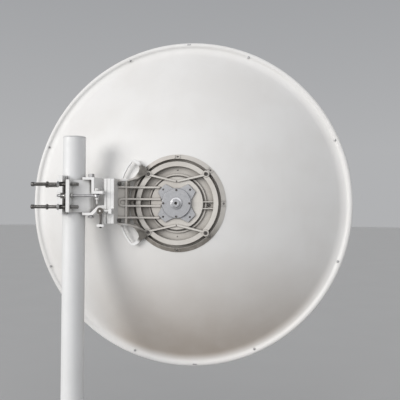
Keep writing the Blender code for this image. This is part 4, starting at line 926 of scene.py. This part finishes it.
def build_hub_details():
    lugs, screws = [], []
    for i in FLANGE_MARKS:
        mark_lugs, mark_screw = flange_mark(i * pi / 4)
        lugs += mark_lugs
        screws += mark_screw
    piece("flange_lugs", lugs, "cast_paint", "antenna")
    piece("flange_screws", screws, "stainless", "antenna")
    corners = []
    for side in (-1, 1):
        for end in (-1, 1):
            seat = (DISH_X + side * BOSS_OFFSET, BOSS_BACK_Y, DISH_Z + end * BOSS_OFFSET)
            corners += screw_with_washer(seat, CORNER_SCREW, socket_screw)
    piece("corner_screws", corners, "stainless", "antenna", finish="dark_steel_and_hole_shade")
    bolt_seat = (DISH_X + POCKET_BOLT_RADIUS, POCKET_FLOOR_Y, DISH_Z + POCKET_BOLT_Z)
    pocket = screw_with_washer(bolt_seat, POCKET_BOLT)
    for end in (-1, 1):
        seat = on_dish(POCKET_SCREW_RADIUS, end * pi / 2, POCKET_FLOOR_Y)
        pocket += screw_with_washer(seat, POCKET_SCREW)
    piece("pocket_screws", pocket, "stainless", "antenna")


def build_feed_details():
    """The screws on the feed disc, and the lip of the waveguide's throat."""
    disc_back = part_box("feed_disc")[0].y
    screws = []
    for i in range(FEED_SCREWS):
        seat = on_dish(FEED_SCREW_RADIUS, i * 2 * pi / FEED_SCREWS, disc_back)
        screws.append(placed(socket_screw(*FEED_SCREW), "Y", seat, reverse=True))
    piece("feed_screws", screws, "stainless", "antenna", finish="dark_steel_and_hole_shade")
    inner_radius, inner_depth = THROAT_RADIUS - THROAT_WALL, THROAT_DEPTH - THROAT_WALL
    throat = lathe([(THROAT_RADIUS, 0.0), (THROAT_RADIUS, THROAT_DEPTH), (0.0, THROAT_DEPTH),
                    (0.0, inner_depth), (inner_radius, inner_depth), (inner_radius, 0.0)],
                   ROUND_SIDES, closed=True)
    # The throat's cup is painted dark, as painted shade for the depth of the waveguide
    mouth_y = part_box("waveguide_boss")[0].y + THROAT_SINK
    piece("waveguide_throat", [placed(throat, "Y", (DISH_X, mouth_y, DISH_Z))], "bare_plate",
          "antenna", finish="dark_steel_and_hole_shade")


build_hub_details()
build_feed_details()


# Finishes of the CAD nodes that stay

for part in frame["record"]["subparts"]:
    node = frame["nodes"][part["node"]]
    node.data.materials.clear()
    node.data.materials.append(FINISHES[part["material_slot"]])


# Camera, light and floor

def build_camera():
    forward = Vector((-sin(CAMERA_YAW) * cos(CAMERA_PITCH), cos(CAMERA_YAW) * cos(CAMERA_PITCH),
                      sin(CAMERA_PITCH)))
    right = forward.cross(Vector((0, 0, 1))).normalized()
    up = right.cross(forward)
    rolled_right = right * cos(CAMERA_ROLL) + up * sin(CAMERA_ROLL)
    rolled_up = up * cos(CAMERA_ROLL) - right * sin(CAMERA_ROLL)
    data = bpy.data.cameras.new("photo_camera")
    data.lens = CAMERA_LENS
    data.sensor_width = SENSOR_WIDTH
    data.clip_end = 100
    camera = bpy.data.objects.new("photo_camera", data)
    bpy.context.scene.collection.objects.link(camera)
    turn = Matrix((rolled_right, rolled_up, -forward)).transposed().to_4x4()
    camera.matrix_world = Matrix.Translation(CAMERA_PLACE) @ turn
    bpy.context.scene.camera = camera


def add_sun(name, direction, strength, angle, colour):
    data = bpy.data.lights.new(name, "SUN")
    data.energy = strength
    data.angle = angle
    data.color = colour
    lamp = bpy.data.objects.new(name, data)
    bpy.context.scene.collection.objects.link(lamp)
    lamp.rotation_euler = direction.to_track_quat("Z", "Y").to_euler()
    lamp.location = direction * LAMP_DISTANCE


def build_light():
    """Two soft lamps, and a room that is paler at eye level than above."""
    add_sun("key_light", KEY_FROM, KEY_STRENGTH, KEY_ANGLE, KEY_COLOUR)
    add_sun("fill_light", FILL_FROM, FILL_STRENGTH, FILL_ANGLE, FILL_COLOUR)
    world = bpy.data.worlds.new("studio")
    bpy.context.scene.world = world
    world.use_nodes = True
    nodes, links = world.node_tree.nodes, world.node_tree.links
    height = nodes.new("ShaderNodeSeparateXYZ")
    links.new(nodes.new("ShaderNodeTexCoord").outputs["Generated"], height.inputs["Vector"])
    fade = nodes.new("ShaderNodeValToRGB")
    fade.color_ramp.elements[0].color = (*HORIZON_COLOUR, 1.0)
    fade.color_ramp.elements[0].position = HORIZON_HEIGHT
    fade.color_ramp.elements[1].color = (*ZENITH_COLOUR, 1.0)
    links.new(height.outputs["Z"], fade.inputs["Fac"])
    links.new(fade.outputs["Color"], nodes["Background"].inputs["Color"])


def build_floor():
    mesh = bpy.data.meshes.new("studio_floor")
    work = bmesh.new()
    bmesh.ops.create_circle(work, cap_ends=True, segments=96, radius=FLOOR_RADIUS)
    work.to_mesh(mesh)
    work.free()
    floor = bpy.data.objects.new("studio_floor", mesh)
    bpy.context.scene.collection.objects.link(floor)
    s = Shader("floor_paper")
    shade = tuple(channel * FLOOR_SHADE for channel in FLOOR_COLOUR)
    colour = s.mix(s.spots(1.6, 3.0, 0.3, 0.7), FLOOR_COLOUR, shade)
    rough = s.spots(30.0, 3.0, 0.3, 0.7, 0.85, 0.95)
    s.surface.inputs["Specular IOR Level"].default_value = 0.0
    _, rounded = s.edges(0.001)
    normal = s.bump(s.noise(300.0), 0.05, 0.0002, rounded)
    floor.data.materials.append(s.finish(colour, rough, normal))


bpy.context.scene.view_settings.view_transform = "Standard"
build_camera()
build_light()
build_floor()
